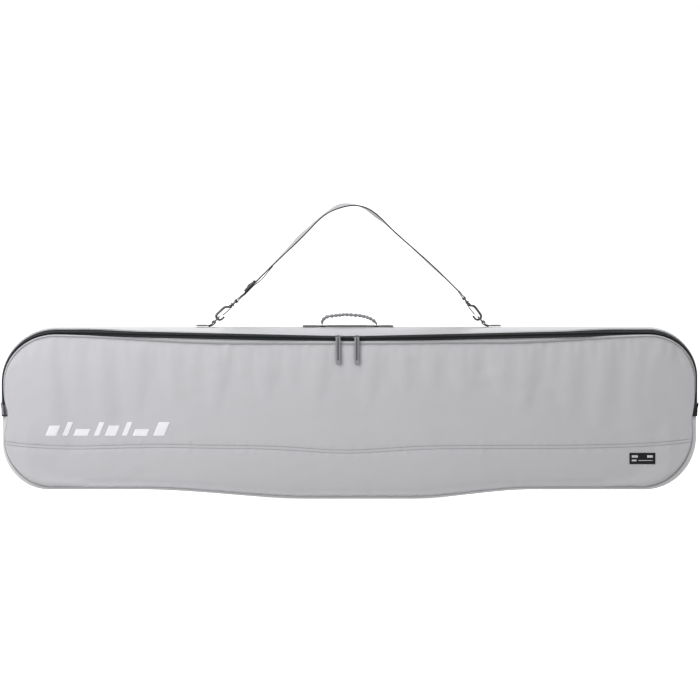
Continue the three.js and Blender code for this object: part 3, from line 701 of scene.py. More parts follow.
def panel_grid(front, rows=(30, 22, 54)):
    """Outer face of a padded panel: columns along x, rows from its lower seam to its upper seam."""
    x = panel_columns()
    low_z, top_z = panel_edges(x, front)
    shift = cubic(cloth_fall(front), (x / EDGE_X + 1) / 2 * (CLOTH_COLS - 1))
    mid = stitch_z(x)
    a = np.maximum(mid - 13, low_z + 1.5)
    b = np.maximum(mid + 13, a + 6)
    knots = [low_z, a, b, top_z]
    parts = []
    for k, count in enumerate(rows):
        t = np.linspace(0, 1, count, endpoint=k == 2)
        if k == 2:
            t = np.sin(t * math.pi / 2) * 0.35 + t * 0.65
        parts.append(knots[k][:, None] + (knots[k + 1] - knots[k])[:, None] * t[None, :])
    z = np.concatenate(parts, 1)
    xx = np.repeat(x[:, None], z.shape[1], 1)
    up = (z - low_z[:, None]) / (top_z - low_z)[:, None]
    from_top = top_z[:, None] - z
    from_low = z - low_z[:, None]
    fall = np.array([cubic(s[:, None], u * (CLOTH_ROWS - 1))[:, 0] for s, u in zip(shift, up)])
    swell = swelling(xx, up) + fall
    edge = smooth(np.minimum(np.minimum(from_top, from_low), EDGE_X - np.abs(xx)), 0, 46)
    relief = relief_of(xx, z, from_top, from_low, edge, front)
    y = SEAM_Y + swell + relief
    if front:
        xx = xx - np.sign(xx) * pinch(xx, z) * smooth(np.abs(xx), EDGE_X - 150, EDGE_X) ** 1.5
    return np.stack([xx, -y if front else y, z], -1)


def relief_of(x, z, from_top, from_low, edge, front):
    """Fall of the fabric over its foam: broad waves, puckers at the seams, the stitched line."""
    shift = 0 if front else 300
    broad = 1.5 * BROAD_X(x + shift + 0.5 * z) * (0.6 + 0.4 * BROAD_Z(z + shift))
    soft = 0.7 * SOFT_A(x + shift - 0.8 * z) * SOFT_B(z + 0.35 * x)
    top = 0.75 * PUCKER_TOP(x + shift + 0.15 * z) * np.exp(-from_top / 16)
    low = 0.75 * PUCKER_LOW(x + shift - 0.1 * z) * np.exp(-from_low / 18)
    rise = 1.6 * np.exp(-from_top / 5) + 1.6 * np.exp(-from_low / 5)
    relief = edge * (broad + soft) + top + low - rise
    if front:
        off = z - stitch_z(x)
        relief = relief - 1.9 * bell(off, 0, 9) * smooth(np.abs(x), EDGE_X, EDGE_X - 30)
        relief = relief - 1.5 * (bell(off, -3.5, 1.3) + bell(off, 3.5, 1.3))
        relief = relief + 0.6 * PUCKER_SEAM(x) * (bell(off, 9, 6) + bell(off, -9, 6))
    return relief


def padded_panel(name, outer, front, nodes, body):
    edge = np.minimum(np.arange(outer.shape[1]), np.arange(outer.shape[1])[::-1])
    thick = mix(2.6, PANEL_THICK, smooth(edge, 0, 8))[None, :]
    inner = outer.copy()
    inner[..., 1] += thick if front else -thick
    obj = slab(name, outer, inner)
    finish_piece(obj, "shell_fabric", body, nodes, inner="lining_fabric")
    return obj


def surface_y(x, z):
    """Front face of the front panel at points of x and z, from the finished grid."""
    col = np.clip(np.searchsorted(FRONT_X, x), 1, len(FRONT_X) - 1)
    t = (x - FRONT_X[col - 1]) / (FRONT_X[col] - FRONT_X[col - 1])
    a = np.array([np.interp(zz, FRONT[c - 1, :, 2], FRONT[c - 1, :, 1]) for c, zz in zip(col, z)])
    b = np.array([np.interp(zz, FRONT[c, :, 2], FRONT[c, :, 1]) for c, zz in zip(col, z)])
    return a + (b - a) * t


# ---- Gussets ------------------------------------------------------------------------------------

HEM_PUFF = Ripple(170, 40)      # unused: its draws keep the next wave as it is
GUSSET_WAVE = Ripple(330, 80)


def hem_reach(x, way):
    """How far the gusset's hem stops behind the zip's centre line."""
    far = mix(6.4, 8.8, smooth(np.abs(x), 490, 570))
    return mix(far, 7.0, way)


def flap_reach(x, way):
    """How far the flap's hem starts in front of the zip's centre line."""
    far = mix(11.3, 14.4, smooth(np.abs(x), 20, 200)) + 0.8 * bell(x, 520, 90)
    return mix(mix(far, 8.0, smooth(np.abs(x), 520, 680)), 8.0, way)


def gusset_surface(path, sections, thick):
    """Outer and inner grids from a list of (y, inset) columns, thickened against the outline's normal."""
    outer, inner = [], []
    for y, inset in sections:
        outer.append(path.behind(y, inset))
        inner.append(path.behind(y, inset + thick))
    return np.stack(outer, 1), np.stack(inner, 1)


def upper_gusset():
    reach = hem_reach(UP.x, UP.way)
    c, s = np.cos(UP.pitch), np.sin(UP.pitch)
    y0 = ZIP_Y + reach * c
    i0 = UP.zip - reach * s
    wave = 0.9 * GUSSET_WAVE(UP.s) * smooth(UP.s, 0, 60)
    sections = []
    for k in np.concatenate([[1.0, 0.985, 0.95, 0.92, 0.895, 0.87], np.linspace(0.83, 0, 14)]):
        rise = 1.5 * smooth(1 - k, 0, 0.02) * smooth(k, 0.1, 0.8) - 0.8 * bell(k, 0.92, 0.018)
        swell = wave * math.sin(math.pi * k) * 0.8
        sections.append((y0 * k, i0 * k * k - rise - np.minimum(swell, i0 * k * k * 0.5)))
    for k in np.linspace(0.07, 0.965, 15):
        sections.append((SEAM_Y * k, UP.back * k * k - 0.8 * math.sin(math.pi * k) * smooth(k, 0.2, 0.5)
                         - wave * smooth(k, 0.2, 0.6) * math.sin(math.pi * k) * 0.6))
    outer, inner = gusset_surface(UP, sections, GUSSET_THICK)
    inner[:, :3] = outer[:, :3] + (inner[:, :3] - outer[:, :3]) * 0.5
    obj = slab("upper_gusset_fabric", outer, inner)
    finish_piece(obj, "shell_fabric", "bag", ("upper_gusset", "upper_gusset_lining"),
                 inner="lining_fabric")


def lower_gusset():
    sections = []
    foot = np.maximum(LOW.foot, 2)
    for side in (-1, 1):
        for k in (np.linspace(0.955, 0, 12) if side < 0 else np.linspace(0.08, 0.955, 12)):
            y = foot + (SEAM_Y - foot) * k
            inset = LOW.seam if side < 0 else LOW.back
            sections.append((side * y, inset * k * k - 1.0 * math.sin(math.pi * k) * LOW.way * k))
    mid = [(foot * t, 0 * foot) for t in np.linspace(-0.9, 0.9, 7)]
    sections = sections[:12] + mid + sections[12:]
    outer, inner = gusset_surface(LOW, sections, GUSSET_THICK)
    obj = slab("lower_gusset_fabric", outer, inner)
    finish_piece(obj, "shell_fabric", "bag", ("lower_gusset", "lower_gusset_lining"),
                 inner="lining_fabric")


# ---- Piping, hems and stitches ------------------------------------------------------------------

def seam_loop(front):
    """Points of the whole seam round a panel, once round from the left fold over the top."""
    y = -SEAM_Y if front else SEAM_Y
    top = UP.behind(y, UP.seam if front else UP.back)
    low = LOW.behind(y, LOW.seam if front else LOW.back)
    return np.concatenate([top, low[::-1][1:-1]])


def piping(front):
    # The cord's darker colour is painted shade of the seam's crease.
    loop = seam_loop(front)
    obj = tube("piping_cord_front" if front else "piping_cord_back", loop, PIPING_R, 10, closed=True)
    if front:
        finish_piece(obj, "piping", None, ("piping_front_lower", "piping_front_flap"))
        return obj
    return finish_piece(obj, "piping", "bag", ("piping_back",))


def stitch_row(name, points, pitch=4.0, length=2.9, radius=0.42):
    """Row of thread stitches along points: each is a short bead sunk at its two ends."""
    points = np.asarray(points, float)
    s = np.concatenate([[0], np.cumsum(np.linalg.norm(np.diff(points, axis=0), axis=1))])
    starts = np.arange(1.0, s[-1] - pitch, pitch)
    ends = np.stack([np.stack([np.interp(starts + d, s, points[:, k]) for k in range(3)], -1)
                     for d in (0, length * 0.25, length * 0.75, length)], 1)
    axis = ends[:, 3] - ends[:, 0]
    axis /= np.linalg.norm(axis, axis=1)[:, None]
    up = np.cross(axis, (0.36, 0.48, 0.8))
    up /= np.linalg.norm(up, axis=1)[:, None]
    side = np.cross(up, axis)
    sizes = (0.35, 1.0, 1.0, 0.35)
    verts, faces = [], []
    for i in range(len(starts)):
        faces += ring_faces(4, 5, len(verts))
        for k, size in enumerate(sizes):
            for q in range(5):
                a = 2 * math.pi * q / 5
                r = radius * size
                verts.append(ends[i, k] + up[i] * r * math.cos(a) + side[i] * r * math.sin(a))
    obj = mesh_object(name, verts, faces, np.zeros((len(verts), 2)))
    face_outward(obj)
    return obj


def flap_strip():
    """Narrow fabric strip of the flap between the zip tape and the front seam."""
    steps = (0.0, 0.03, 0.12, 0.3, 0.55, 0.8, 1.0)
    near = UP.near_zip(flap_reach(UP.x, UP.way), 0)
    far = UP.behind(-61.6, UP.seam - 0.6)
    puff = (0.4, 1.0, 1.2, 1.1, 1.5, 1.4, 0.4)
    c, s = np.cos(UP.pitch), np.sin(UP.pitch)
    lift = np.stack([UP.nx * c, -s, UP.nz * c], -1)
    outer = np.stack([near + (far - near) * t + lift * p for t, p in zip(steps, puff)], 1)
    inner = np.stack([near + (far - near) * t - lift * 0.2 for t in steps], 1)
    obj = slab("flap_hem", outer, inner)
    finish_piece(obj, "shell_fabric", "flap", ("flap_edge_strip",))
    line = near + (far - near) * 0.3 + lift * 1.75
    rows = stitch_row("flap_hem_stitches", line[6:-6], 3.6)
    finish_piece(rows, "thread_light", "flap")


# ---- Zip ----------------------------------------------------------------------------------------

def zip_tape(name, start, end, body, nodes):
    """Woven tape beside the zip's coil, from start to end across the zip's centre line."""
    start, end = np.broadcast_to(start, UP.x.shape), np.broadcast_to(end, UP.x.shape)
    across = [mix(start, end, t) for t in np.linspace(0, 1, 6)]
    outer = np.stack([UP.near_zip(a, 0.45) for a in across], 1)
    inner = np.stack([UP.near_zip(a, -0.45) for a in across], 1)
    obj = slab(name, outer, inner)
    return finish_piece(obj, "zip_tape", body, nodes)


def zip_coil(name, side, body, nodes):
    """One half of the zip's coil: a row of curled teeth along the tape's edge."""
    pitch = 2.9
    starts = np.arange(1.5 + (pitch / 2 if side > 0 else 0), UP.s[-1] - 1.5, pitch)

    def at(across, out):
        grid = UP.near_zip(across, out)
        return np.stack([np.interp(starts, UP.s, grid[:, k]) for k in range(3)], -1)

    curl = ((-0.7, 1.0), (-0.2, 2.1), (1.6, 2.5), (3.4, 2.1), (4.0, 1.0))
    rings = np.stack([at(across * side, out) for across, out in curl], 1)
    along = np.gradient(at(0.0, 0.0), axis=0)
    along /= np.linalg.norm(along, axis=1)[:, None]
    out = at(0.0, 1.0) - at(0.0, 0.0)
    verts, faces = [], []
    for i in range(len(starts)):
        faces += ring_faces(5, 6, len(verts))
        for k, r in enumerate((0.6, 0.78, 0.66, 0.66, 0.5)):
            for q in range(6):
                a = 2 * math.pi * q / 6
                verts.append(rings[i, k] + along[i] * r * math.cos(a) * 1.35 + out[i] * r * math.sin(a))
    obj = mesh_object(name, verts, faces, np.zeros((len(verts), 2)))
    face_outward(obj)
    return finish_piece(obj, "zip_coil", body, nodes)


def zip_frame(x):
    """Place on the zip's centre line, with directions along it, to the front and off the tape."""
    i = int(np.argmin(np.abs(UP.x - x) + np.abs(UP.nz - 1)))
    origin = np.array([x, ZIP_Y, CROWN_Z - float(top_zip_inset(x))])
    along = np.array([1, 0, np.sign(x) * ZIP_RISE])
    along /= np.linalg.norm(along)
    pitch = UP.pitch[i]
    front = np.array([0, -math.cos(pitch), -math.sin(pitch)])
    return origin, along, front, -np.cross(along, front)


def in_frame(axes, points):
    origin, a, b, c = axes
    p = np.asarray(points, float)
    return origin + p[..., :1] * a + p[..., 1:2] * b + p[..., 2:3] * c


def prism(name, outline, low, high, axes):
    """Flat part: an outline in the first two axes, from low to high on the third."""
    outline = np.asarray(outline, float)
    n = len(outline)
    rings = [np.column_stack([outline, np.full(n, h)]) for h in (low, high)]
    verts = np.concatenate(rings)
    faces = [tuple(range(n))[::-1], tuple(range(n, 2 * n))]
    for i in range(n):
        j = (i + 1) % n
        faces.append((i, j, n + j, n + i))
    obj = mesh_object(name, in_frame(axes, verts), faces, verts[:, :2])
    face_outward(obj)
    return obj


def rounded(w, h, r, steps, cx):
    """Outline of a rectangle with round corners, its middle at cx."""
    out = []
    for k, (sx, sy) in enumerate(((1, 1), (-1, 1), (-1, -1), (1, -1))):
        for t in np.linspace(0, math.pi / 2, steps):
            a = t + k * math.pi / 2
            x, y = sx * (w / 2 - r) + r * math.cos(a), sy * (h / 2 - r) + r * math.sin(a)
            out.append((cx + x, y))
    return out


def zip_slider(side):
    """Die-cast slider: two plates on a post, flared at the nose, with a bail for its pull."""
    axes = zip_frame(SLIDER_X[side])
    nose = 1 if side == "right" else -1
    shape = [(7, 3.6), (5.6, 5.4), (1, 5.5), (-3, 4.6), (-6, 4.2), (-7, 3.4),
             (-7, -3.4), (-6, -4.2), (-3, -4.6), (1, -5.5), (5.6, -5.4), (7, -3.6)]
    shape = [(x * nose, y) for x, y in shape]
    if nose < 0:
        shape = shape[::-1]
    top = bevelled(prism("top", shape, 2.5, 4.1, axes), 0.5, 2)
    low = bevelled(prism("low", shape, -4.0, -2.4, axes), 0.5, 2)
    post = prism("post", rounded(5, 1.0, 0.4, 3, 3.5 * nose), -2.6, 2.6, axes)
    bail_path = [(-4.6, 0, 3.9), (-4.6, 0, 5.6), (-4.2, 0, 7.0), (-3, 0, 7.6), (0, 0, 7.75),
                 (3, 0, 7.6), (4.2, 0, 7.0), (4.6, 0, 5.6), (4.6, 0, 3.9)]
    bail = tube("bail", in_frame(axes, bail_path), 0.8, 10)
    for piece in (top, low):
        apply_modifiers(piece)
    obj = joined(f"slider_body_{side}", [top, low, post, bail])
    return finish_piece(obj, "metal", f"slider_{side}", (f"zip_slider_{side}",))


def apply_modifiers(obj):
    deps = bpy.context.evaluated_depsgraph_get()
    data = bpy.data.meshes.new_from_object(obj.evaluated_get(deps))
    obj.modifiers.clear()
    obj.data = data


PULL_ROUTE = [(-9.4, -3.8), (-11.9, -9), (-13.7, -16), (-15, -26), (-18, -40), (-21, -54), (-23.2, -66)]


def catmull(points, count):
    """Even steps along a smooth curve through points."""
    p = np.asarray(points, float)
    p = np.concatenate([[2 * p[0] - p[1]], p, [2 * p[-1] - p[-2]]])
    knot = np.concatenate([[0], np.cumsum(np.sqrt(np.linalg.norm(np.diff(p, axis=0), axis=1)))])
    out = []
    for i in range(1, len(p) - 2):
        t0, t1, t2, t3 = knot[i - 1:i + 3]
        t = np.linspace(t1, t2, 40, endpoint=False)[:, None]
        a1 = (t1 - t) / (t1 - t0) * p[i - 1] + (t - t0) / (t1 - t0) * p[i]
        a2 = (t2 - t) / (t2 - t1) * p[i] + (t - t1) / (t2 - t1) * p[i + 1]
        a3 = (t3 - t) / (t3 - t2) * p[i + 1] + (t - t2) / (t3 - t2) * p[i + 2]
        b1 = (t2 - t) / (t2 - t0) * a1 + (t - t0) / (t2 - t0) * a2
        b2 = (t3 - t) / (t3 - t1) * a2 + (t - t1) / (t3 - t1) * a3
        out.append((t2 - t) / (t2 - t1) * b1 + (t - t1) / (t2 - t1) * b2)
    out = np.concatenate(out + [p[-2:-1]])
    s = np.concatenate([[0], np.cumsum(np.linalg.norm(np.diff(out, axis=0), axis=1))])
    even = np.linspace(0, s[-1], count)
    return np.stack([np.interp(even, s, out[:, k]) for k in range(p.shape[1])], 1), even


def puller(side):
    """Ring through the bail, and a folded webbing pull with a groove down its middle."""
    x = SLIDER_X[side]
    origin, _, _, out = zip_frame(x)
    centre = origin + out * 7.5
    turn = np.linspace(0, 2 * np.pi, 28, endpoint=False)
    circle = np.stack([0 * turn, 2.3 * np.cos(turn), 2.3 * np.sin(turn)], 1)
    ring = tube("ring", centre + circle, 0.62, 8, True, up=(1, 0, 0))
    dip = math.radians(21)
    reach = np.array([0, -math.cos(dip), -math.sin(dip)])
    wide = [(0, 0), (2.4, 1.2), (2.9, 3.2), (2.9, 6.6), (-2.9, 6.6), (-2.9, 3.2), (-2.4, 1.2)]
    loop = [centre + reach * (2.0 + b) + np.array([a, 0, 0]) for a, b in wide]
    loop = tube("loop", loop, 0.62, 8, True, up=(0, -math.sin(dip), math.cos(dip)))
    obj = joined(f"pull_ring_{side}", [ring, loop])
    finish_piece(obj, "metal", f"puller_{side}", (f"puller_link_{side}",))
    route, s = catmull(PULL_ROUTE, 64)
    route = route + centre[1:]
    tangent = np.gradient(route, axis=0)
    tangent /= np.linalg.norm(tangent, axis=1)[:, None]
    normal = np.stack([tangent[:, 1], -tangent[:, 0]], 1)
    half = 5.9 * np.sqrt(np.clip(1 - np.clip((s - (s[-1] - 7)) / 7.05, 0, 1) ** 2.6, 0.03, 1))
    half = half * (0.72 + 0.28 * smooth(s, 0, 6))
    width = np.linspace(-1, 1, 21)
    outer, inner = [], []
    for k in width:
        plump = 1.75 * (1 - abs(k) ** 4) ** 0.5 + 0.25 - 0.9 * float(bell(k, 0, 0.16)) * smooth(s, 3, 8)
        plump = plump * (1 - 0.5 * smooth(s, s[-1] - 3, s[-1]))
        outer.append(np.column_stack([x + half * k, route + normal * plump[:, None]]))
        flat = 0.2 + 1.4 * (1 - abs(k) ** 4) ** 0.5
        inner.append(np.column_stack([x + half * k, route - normal * flat]))
    obj = slab(f"pull_tab_{side}", np.stack(outer, 1), np.stack(inner, 1))
    # The pull's middle strip takes the darker webbing: painted shade down its groove.
    finish_piece(obj, "pull", f"puller_{side}", (f"puller_pull_{side}",), edge="webbing_dark_and_shade")
    cap_s = s > s[-1] - 11
    outer = np.stack(outer, 1)[cap_s]
    inner = np.stack(inner, 1)[cap_s]
    grow = np.zeros_like(outer)
    grow[..., 0] = (outer[..., 0] - x) * 0.06
    middle = (outer + inner) / 2
    outer, inner = [grid + grow + (grid - middle) * 0.16 for grid in (outer, inner)]
    cap = slab(f"pull_end_{side}", outer, inner)
    finish_piece(cap, "webbing", f"puller_{side}")


def zip_end_tab(side):
    """Folded fabric tab sewn over the zip's end, from the side round to the tape."""
    half = slice(0, len(UP.x) // 2) if side == "left" else slice(len(UP.x) - 1, len(UP.x) // 2, -1)
    z = np.linspace(193, 217, 18)
    zip_in, pitch = [np.interp(z, UP.z[half], a[half]) for a in (UP.zip, UP.pitch)]
    reach = 7.0
    hem_y, hem_in = ZIP_Y + reach * np.cos(pitch), zip_in - reach * np.sin(pitch)
    y = np.linspace(-54, -24, 22)
    yy, _ = np.meshgrid(y, z, indexing="ij")
    zz = z - 3.5 * (np.abs(yy) - 46) / 30
    behind_hem = hem_in * (yy / hem_y) ** 2
    on_tape = zip_in + (-yy + ZIP_Y) * np.tan(pitch)
    inset = np.where(yy > hem_y, behind_hem, on_tape)
    edge = np.minimum(np.minimum(yy + 54, -24 - yy), np.minimum(zz - zz[:, :1], zz[:, -1:] - zz))
    flare = 2.4 * smooth(z, 205, 217) * smooth(yy, -50, -38)
    puff = 2.0 + 1.1 * smooth(edge, 0, 3.0) - 0.5 * bell(edge, 3.4, 0.9) + flare
    sign = -1 if side == "left" else 1
    outer = np.stack([sign * (HALF_LENGTH - inset + puff), yy, zz], -1)
    inner = np.stack([sign * (HALF_LENGTH - inset + 0.7), yy, zz], -1)
    obj = slab(f"zip_end_cover_{side}", outer, inner)
    material = "pull" if side == "left" else "zip_tape"
    finish_piece(obj, material, "bag", (f"zip_end_tab_{side}",))


# ---- Webbing ------------------------------------------------------------------------------------

def flat_normals(route):
    tangent = np.gradient(route, axis=0)
    tangent /= np.linalg.norm(tangent, axis=1)[:, None]
    return tangent, np.stack([-tangent[:, 1], tangent[:, 0]], 1)


def beside(route, normal, off, y):
    """Points at distance off along the route's normals, with y as their middle coordinate."""
    place = route + normal * np.reshape(off, (-1, 1))
    return np.column_stack([place[:, 0], y, place[:, 1]])


def ribbon(name, route, width, thickness, roll=0.0, lift=0.0, across=13, edge_round=0.7, wave=None):
    """Webbing along (x, z) points, its width along Y, rolled about its own line."""
    _, normal = flat_normals(route)
    n = len(route)
    roll = np.broadcast_to(roll, n)
    half = np.broadcast_to(width, n) / 2
    thin = np.broadcast_to(thickness, n) / 2
    lift = np.broadcast_to(lift, n)
    outer, inner = [], []
    for k in np.linspace(-1, 1, across):
        plump = thin * max(1 - abs(k) ** 6, 0.0) ** 0.5 * edge_round + thin * (1 - edge_round)
        cup = 0 if wave is None else wave * k * k
        for side, rows in ((1, outer), (-1, inner)):
            off = lift + side * plump + cup
            y = half * k * np.cos(roll) - off * np.sin(roll)
            d = half * k * np.sin(roll) + off * np.cos(roll)
            rows.append(beside(route, normal, d, y))
    return slab(name, np.stack(outer, 1), np.stack(inner, 1))


def handle():
    route, s = catmull([(-63, 397.4)] + HANDLE_ROUTE + [(62, 397.4)], 240)
    width = np.clip(8 + 1.8 * (route[:, 1] - 401), 8, 22)
    base = ribbon("handle_strap", route, width, WEBBING)
    finish_piece(base, "heather", None, ("handle_webbing",))
    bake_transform(base)
    part = (s > 2.5) & (s < s[-1] - 2.5)
    route, s = route[part], s[part] - s[part][0]
    _, normal = flat_normals(route)
    gathers = np.abs(np.sin(s * math.pi / 9.2 + 0.5 * np.sin(s * 0.11))) ** 0.7
    sides = 34
    turn = np.linspace(0, 2 * np.pi, sides, endpoint=False)
    verts = []
    taper = 0.7 + 0.3 * smooth(np.minimum(s, s[-1] - s), 0, 9)
    for i in range(len(s)):
        jitter = 0.5 * np.sin(3 * turn + s[i] * 0.37) + 0.4 * np.sin(5 * turn - s[i] * 0.61)
        bump = (gathers[i] * 2.3 + jitter * 0.5) * taper[i]
        a = min(11.6, 5.2 + 0.55 * min(s[i], s[-1] - s[i])) + bump * 0.5
        b = (1.9 + bump) * taper[i]
        y = a * np.sign(np.cos(turn)) * np.abs(np.cos(turn)) ** 0.8
        d = b * np.sign(np.sin(turn)) * np.abs(np.sin(turn)) ** 0.8
        verts.append(beside(route[i], normal[i], d, y))
    uv = np.stack(np.meshgrid(s, turn * 9, indexing="ij"), -1).reshape(-1, 2)
    obj = mesh_object("handle_grip", np.concatenate(verts), ring_faces(len(s), sides), uv)
    face_outward(obj)
    finish_piece(obj, "heather", None, ("handle_sleeve",))
    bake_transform(obj)


def handle_base():
    """Webbing sewn along the crown under the handle, with two rows of stitches broken beside each root.
    """
    route = np.column_stack([np.linspace(-107.5, 100.5, 90), np.full(90, 396.0)])
    dip = 1.2 * bell(route[:, 0], -62.5, 4) + 1.2 * bell(route[:, 0], 61.5, 4)
    route[:, 1] -= dip * 0.4
    obj = ribbon("handle_base_strap", route, 25, 3.0, edge_round=0.4)
    finish_piece(obj, "webbing", "bag", ("handle_base_webbing",), edge="webbing_dark_and_shade")
    rows = []
    for y in (-10.6, 10.6):
        line = np.column_stack([route[:, 0], np.full(90, y), route[:, 1] + 1.35])
        rows += [stitch_row("row", part, 3.6) for part in (line[2:13], line[25:64], line[77:-2])]
    obj = joined("handle_base_stitches", rows)
    finish_piece(obj, "thread", "bag")


def strap_roll(s, total):
    """How the hanging strap turns about its own line: front edge down is positive."""
    t = s / total
    roll = 11 * bell(t, 0.285, 0.085) + 12 * bell(t, 0.465, 0.045) - 11 * bell(t, 0.60, 0.05)
    roll = roll - 5 * bell(t, 0.86, 0.06)
    return np.radians(roll)


def strap():
    route, s = catmull(STRAP_ROUTE, 460)
    total = s[-1]
    roll = strap_roll(s, total)
    cup = 0.5 * np.sin(s * 0.045)
    obj = ribbon("strap_band", route, STRAP_WIDTH, WEBBING + 0.8, roll,
                 across=15, edge_round=0.35, wave=cup)
    finish_piece(obj, "webbing", "strap", ("strap_webbing",), edge="webbing_dark_and_shade")
    rows = []
    _, normal = flat_normals(route)
    for k in (-0.86, 0.86):
        for side in (1, -1):
            off = side * 1.25
            y = 19 * k * np.cos(roll) - off * np.sin(roll)
            d = 19 * k * np.sin(roll) + off * np.cos(roll)
            rows.append(beside(route, normal, d, y))
    obj = joined("strap_edge_stitches", [stitch_row("row", r[8:-8], 4.2, radius=0.35) for r in rows])
    finish_piece(obj, "thread", "strap")
    strap_return(route, s)


def strap_return(route, s):
    """The webbing doubled back from the left loop through the slide buckle."""
    part = s < 96
    piece, along = route[part], s[part]
    lift = -(2.6 + 2.6 * smooth(along, 30, 55) * (1 - smooth(along, 60, 92)))
    obj = ribbon("strap_return", piece, STRAP_WIDTH - 1, WEBBING - 0.4, 0.0, lift, edge_round=0.35)
    finish_piece(obj, "webbing", "strap", edge="webbing_dark_and_shade")


def buckle():
    """Slide buckle: a moulded frame with two slots and round edges, bowed a little over the strap."""
    route, _ = catmull(STRAP_ROUTE, 401)
    at = int(round(400 * TRIGLIDE_AT))
    tangent, normal = flat_normals(route)
    t = np.array([tangent[at, 0], 0, tangent[at, 1]])
    n = np.array([normal[at, 0], 0, normal[at, 1]])
    origin = np.array([route[at, 0], 0, route[at, 1]]) + n * 3.4
    axes = (origin, t, np.array([0, 1.0, 0]), n)
    parts = []
    for x in (-14.6, 0, 14.6):
        line = [(x, y, -0.5 * (y / 24) ** 2) for y in np.linspace(-23.6, 23.6, 18)]
        parts.append(tube("bar", in_frame(axes, line), 2.5 if x else 2.0, 12, up=tuple(n)))
    for y in (-21.8, 21.8):
        line = [(x, y, 0) for x in np.linspace(-16.2, 16.2, 10)]
        parts.append(tube("rail", in_frame(axes, line), 2.7, 12, up=tuple(n)))
    obj = joined("slide_buckle", parts)
    finish_piece(obj, "plastic", "triglide", ("triglide",))
    along = np.linspace(-13.5, 13.5, 50)
    rise = mix(-1.2, 3.6, smooth(np.abs(along), 10.5, 3.0))
    over = in_frame(axes, np.column_stack([along, 0 * along, rise]))
    hump = ribbon("slide_buckle_webbing", over[:, [0, 2]], STRAP_WIDTH, 1.8, edge_round=0.35)
    finish_piece(hump, "webbing", "triglide", edge="webbing_dark_and_shade")


# ---- Hooks, rings and tabs at the strap's ends --------------------------------------------------

def hook_axes(end):
    turn = math.radians(end["angle"])
    along = np.array([math.cos(turn), 0, math.sin(turn)])
    gate_side = np.array([math.sin(turn), 0, -math.cos(turn)]) * -end["outward"]
    bow = np.array([end["bow"][0], 0, end["bow"][1]])
    origin = bow - along * (HOOK_WIRE + RING_ROD + HOOK_PLAY)
    return origin, along, gate_side, np.cross(along, gate_side)


def arc(cx, cy, r, a, b, n):
    t = np.radians(np.linspace(a, b, n))
    return np.column_stack([cx + r * np.cos(t), cy + r * np.sin(t)])


def flat_path(axes, path):
    path = np.asarray(path, float)
    return in_frame(axes, np.column_stack([path, np.zeros(len(path))]))


def turned(name, axes, profile, sides=20):
    """Turned part along the first axis: profile rows are (along, radius)."""
    profile = np.asarray(profile, float)
    line = np.column_stack([profile[:, 0], np.zeros((len(profile), 2))])
    centres = in_frame(axes, line)
    turn = np.linspace(0, 2 * np.pi, sides, endpoint=False)
    rings = (centres[:, None] + axes[2] * (np.cos(turn)[:, None] * profile[:, 1][:, None, None])
             + axes[3] * (np.sin(turn)[:, None] * profile[:, 1][:, None, None]))
    n = len(profile)
    obj = mesh_object(name, rings.reshape(-1, 3), ring_faces(n, sides), np.zeros((n * sides, 2)))
    face_outward(obj)
    return obj


def snap_hook(side):
    axes = hook_axes(STRAP_ENDS[side])
    path = [(40, -0.2), (38, -1.4), (36, -3.6), (33.6, -6), (30.5, -7.5), (27, -8), (14, -8)]
    path = np.concatenate([path, arc(8, 0, 8, 270, 90, 26), [(12, 8), (15, 8)]])
    smooth_path, along = catmull(path, 90)
    thick = 2.4 + 0.5 * smooth(along, 0, 12) * (1 - smooth(along, 40, 60))
    bow = tube("bow", flat_path(axes, smooth_path), thick * 0.96, 14, up=tuple(axes[3]))
    swivel_stem = [(37.4, 0.8), (37.8, 3.4), (39, 4.3), (43.2, 4.3), (44.4, 3.6), (45.5, 3.5),
                   (45.6, 2.0), (50.9, 2.0), (50.95, 3.0), (51.6, 3.2), (52.3, 2.6), (52.5, 0.6)]
    stem = turned("stem", axes, swivel_stem)
    obj = joined(f"hook_casting_{side}", [bow, stem])
    finish_piece(obj, "metal", f"hook_{side}", (f"hook_{side}",))
    wires = []
    for z in (-1.0, 1.0):
        line = [(37.3, 3.4, z), (30, 3.4, z), (22, 3.2, z * 0.95), (15.6, 3.0, z * 0.8)]
        wires.append(tube("wire", in_frame(axes, line), 1.2, 8, up=tuple(axes[2])))
    obj = joined(f"hook_gate_wire_{side}", wires)
    finish_piece(obj, "metal", f"gate_{side}", (f"hook_gate_{side}",))


def eye(side):
    """Rectangular eye that the strap is folded through, free to turn on the hook's stem."""
    origin, along, gate_side, _ = hook_axes(STRAP_ENDS[side])
    y = np.array([0, 1.0, 0])
    axes = (origin, along, y, np.cross(along, y))
    base, top, half, r = 46.2 + 2, 62.2 - 2, 21.0, 3.4
    path = []
    for cx, cy, a in ((top - r, half - r, 0), (base + r, half - r, 90), (base + r, -half + r, 180),
                      (top - r, -half + r, 270)):
        path += list(arc(cx, cy, r, a, a + 90, 7))
    ring = tube("ring", flat_path(axes, path), 1.95, 12, True, up=tuple(axes[3]))
    profile = [(46.3, 2.3), (46.3, 4.0), (47, 4.5), (49.6, 4.5), (50.2, 4.0), (50.2, 2.3)]
    collar = turned("collar", (origin, along, gate_side, y), profile)
    obj = joined(f"eye_casting_{side}", [ring, collar])
    finish_piece(obj, "metal", "strap", (f"swivel_eye_{side}",))


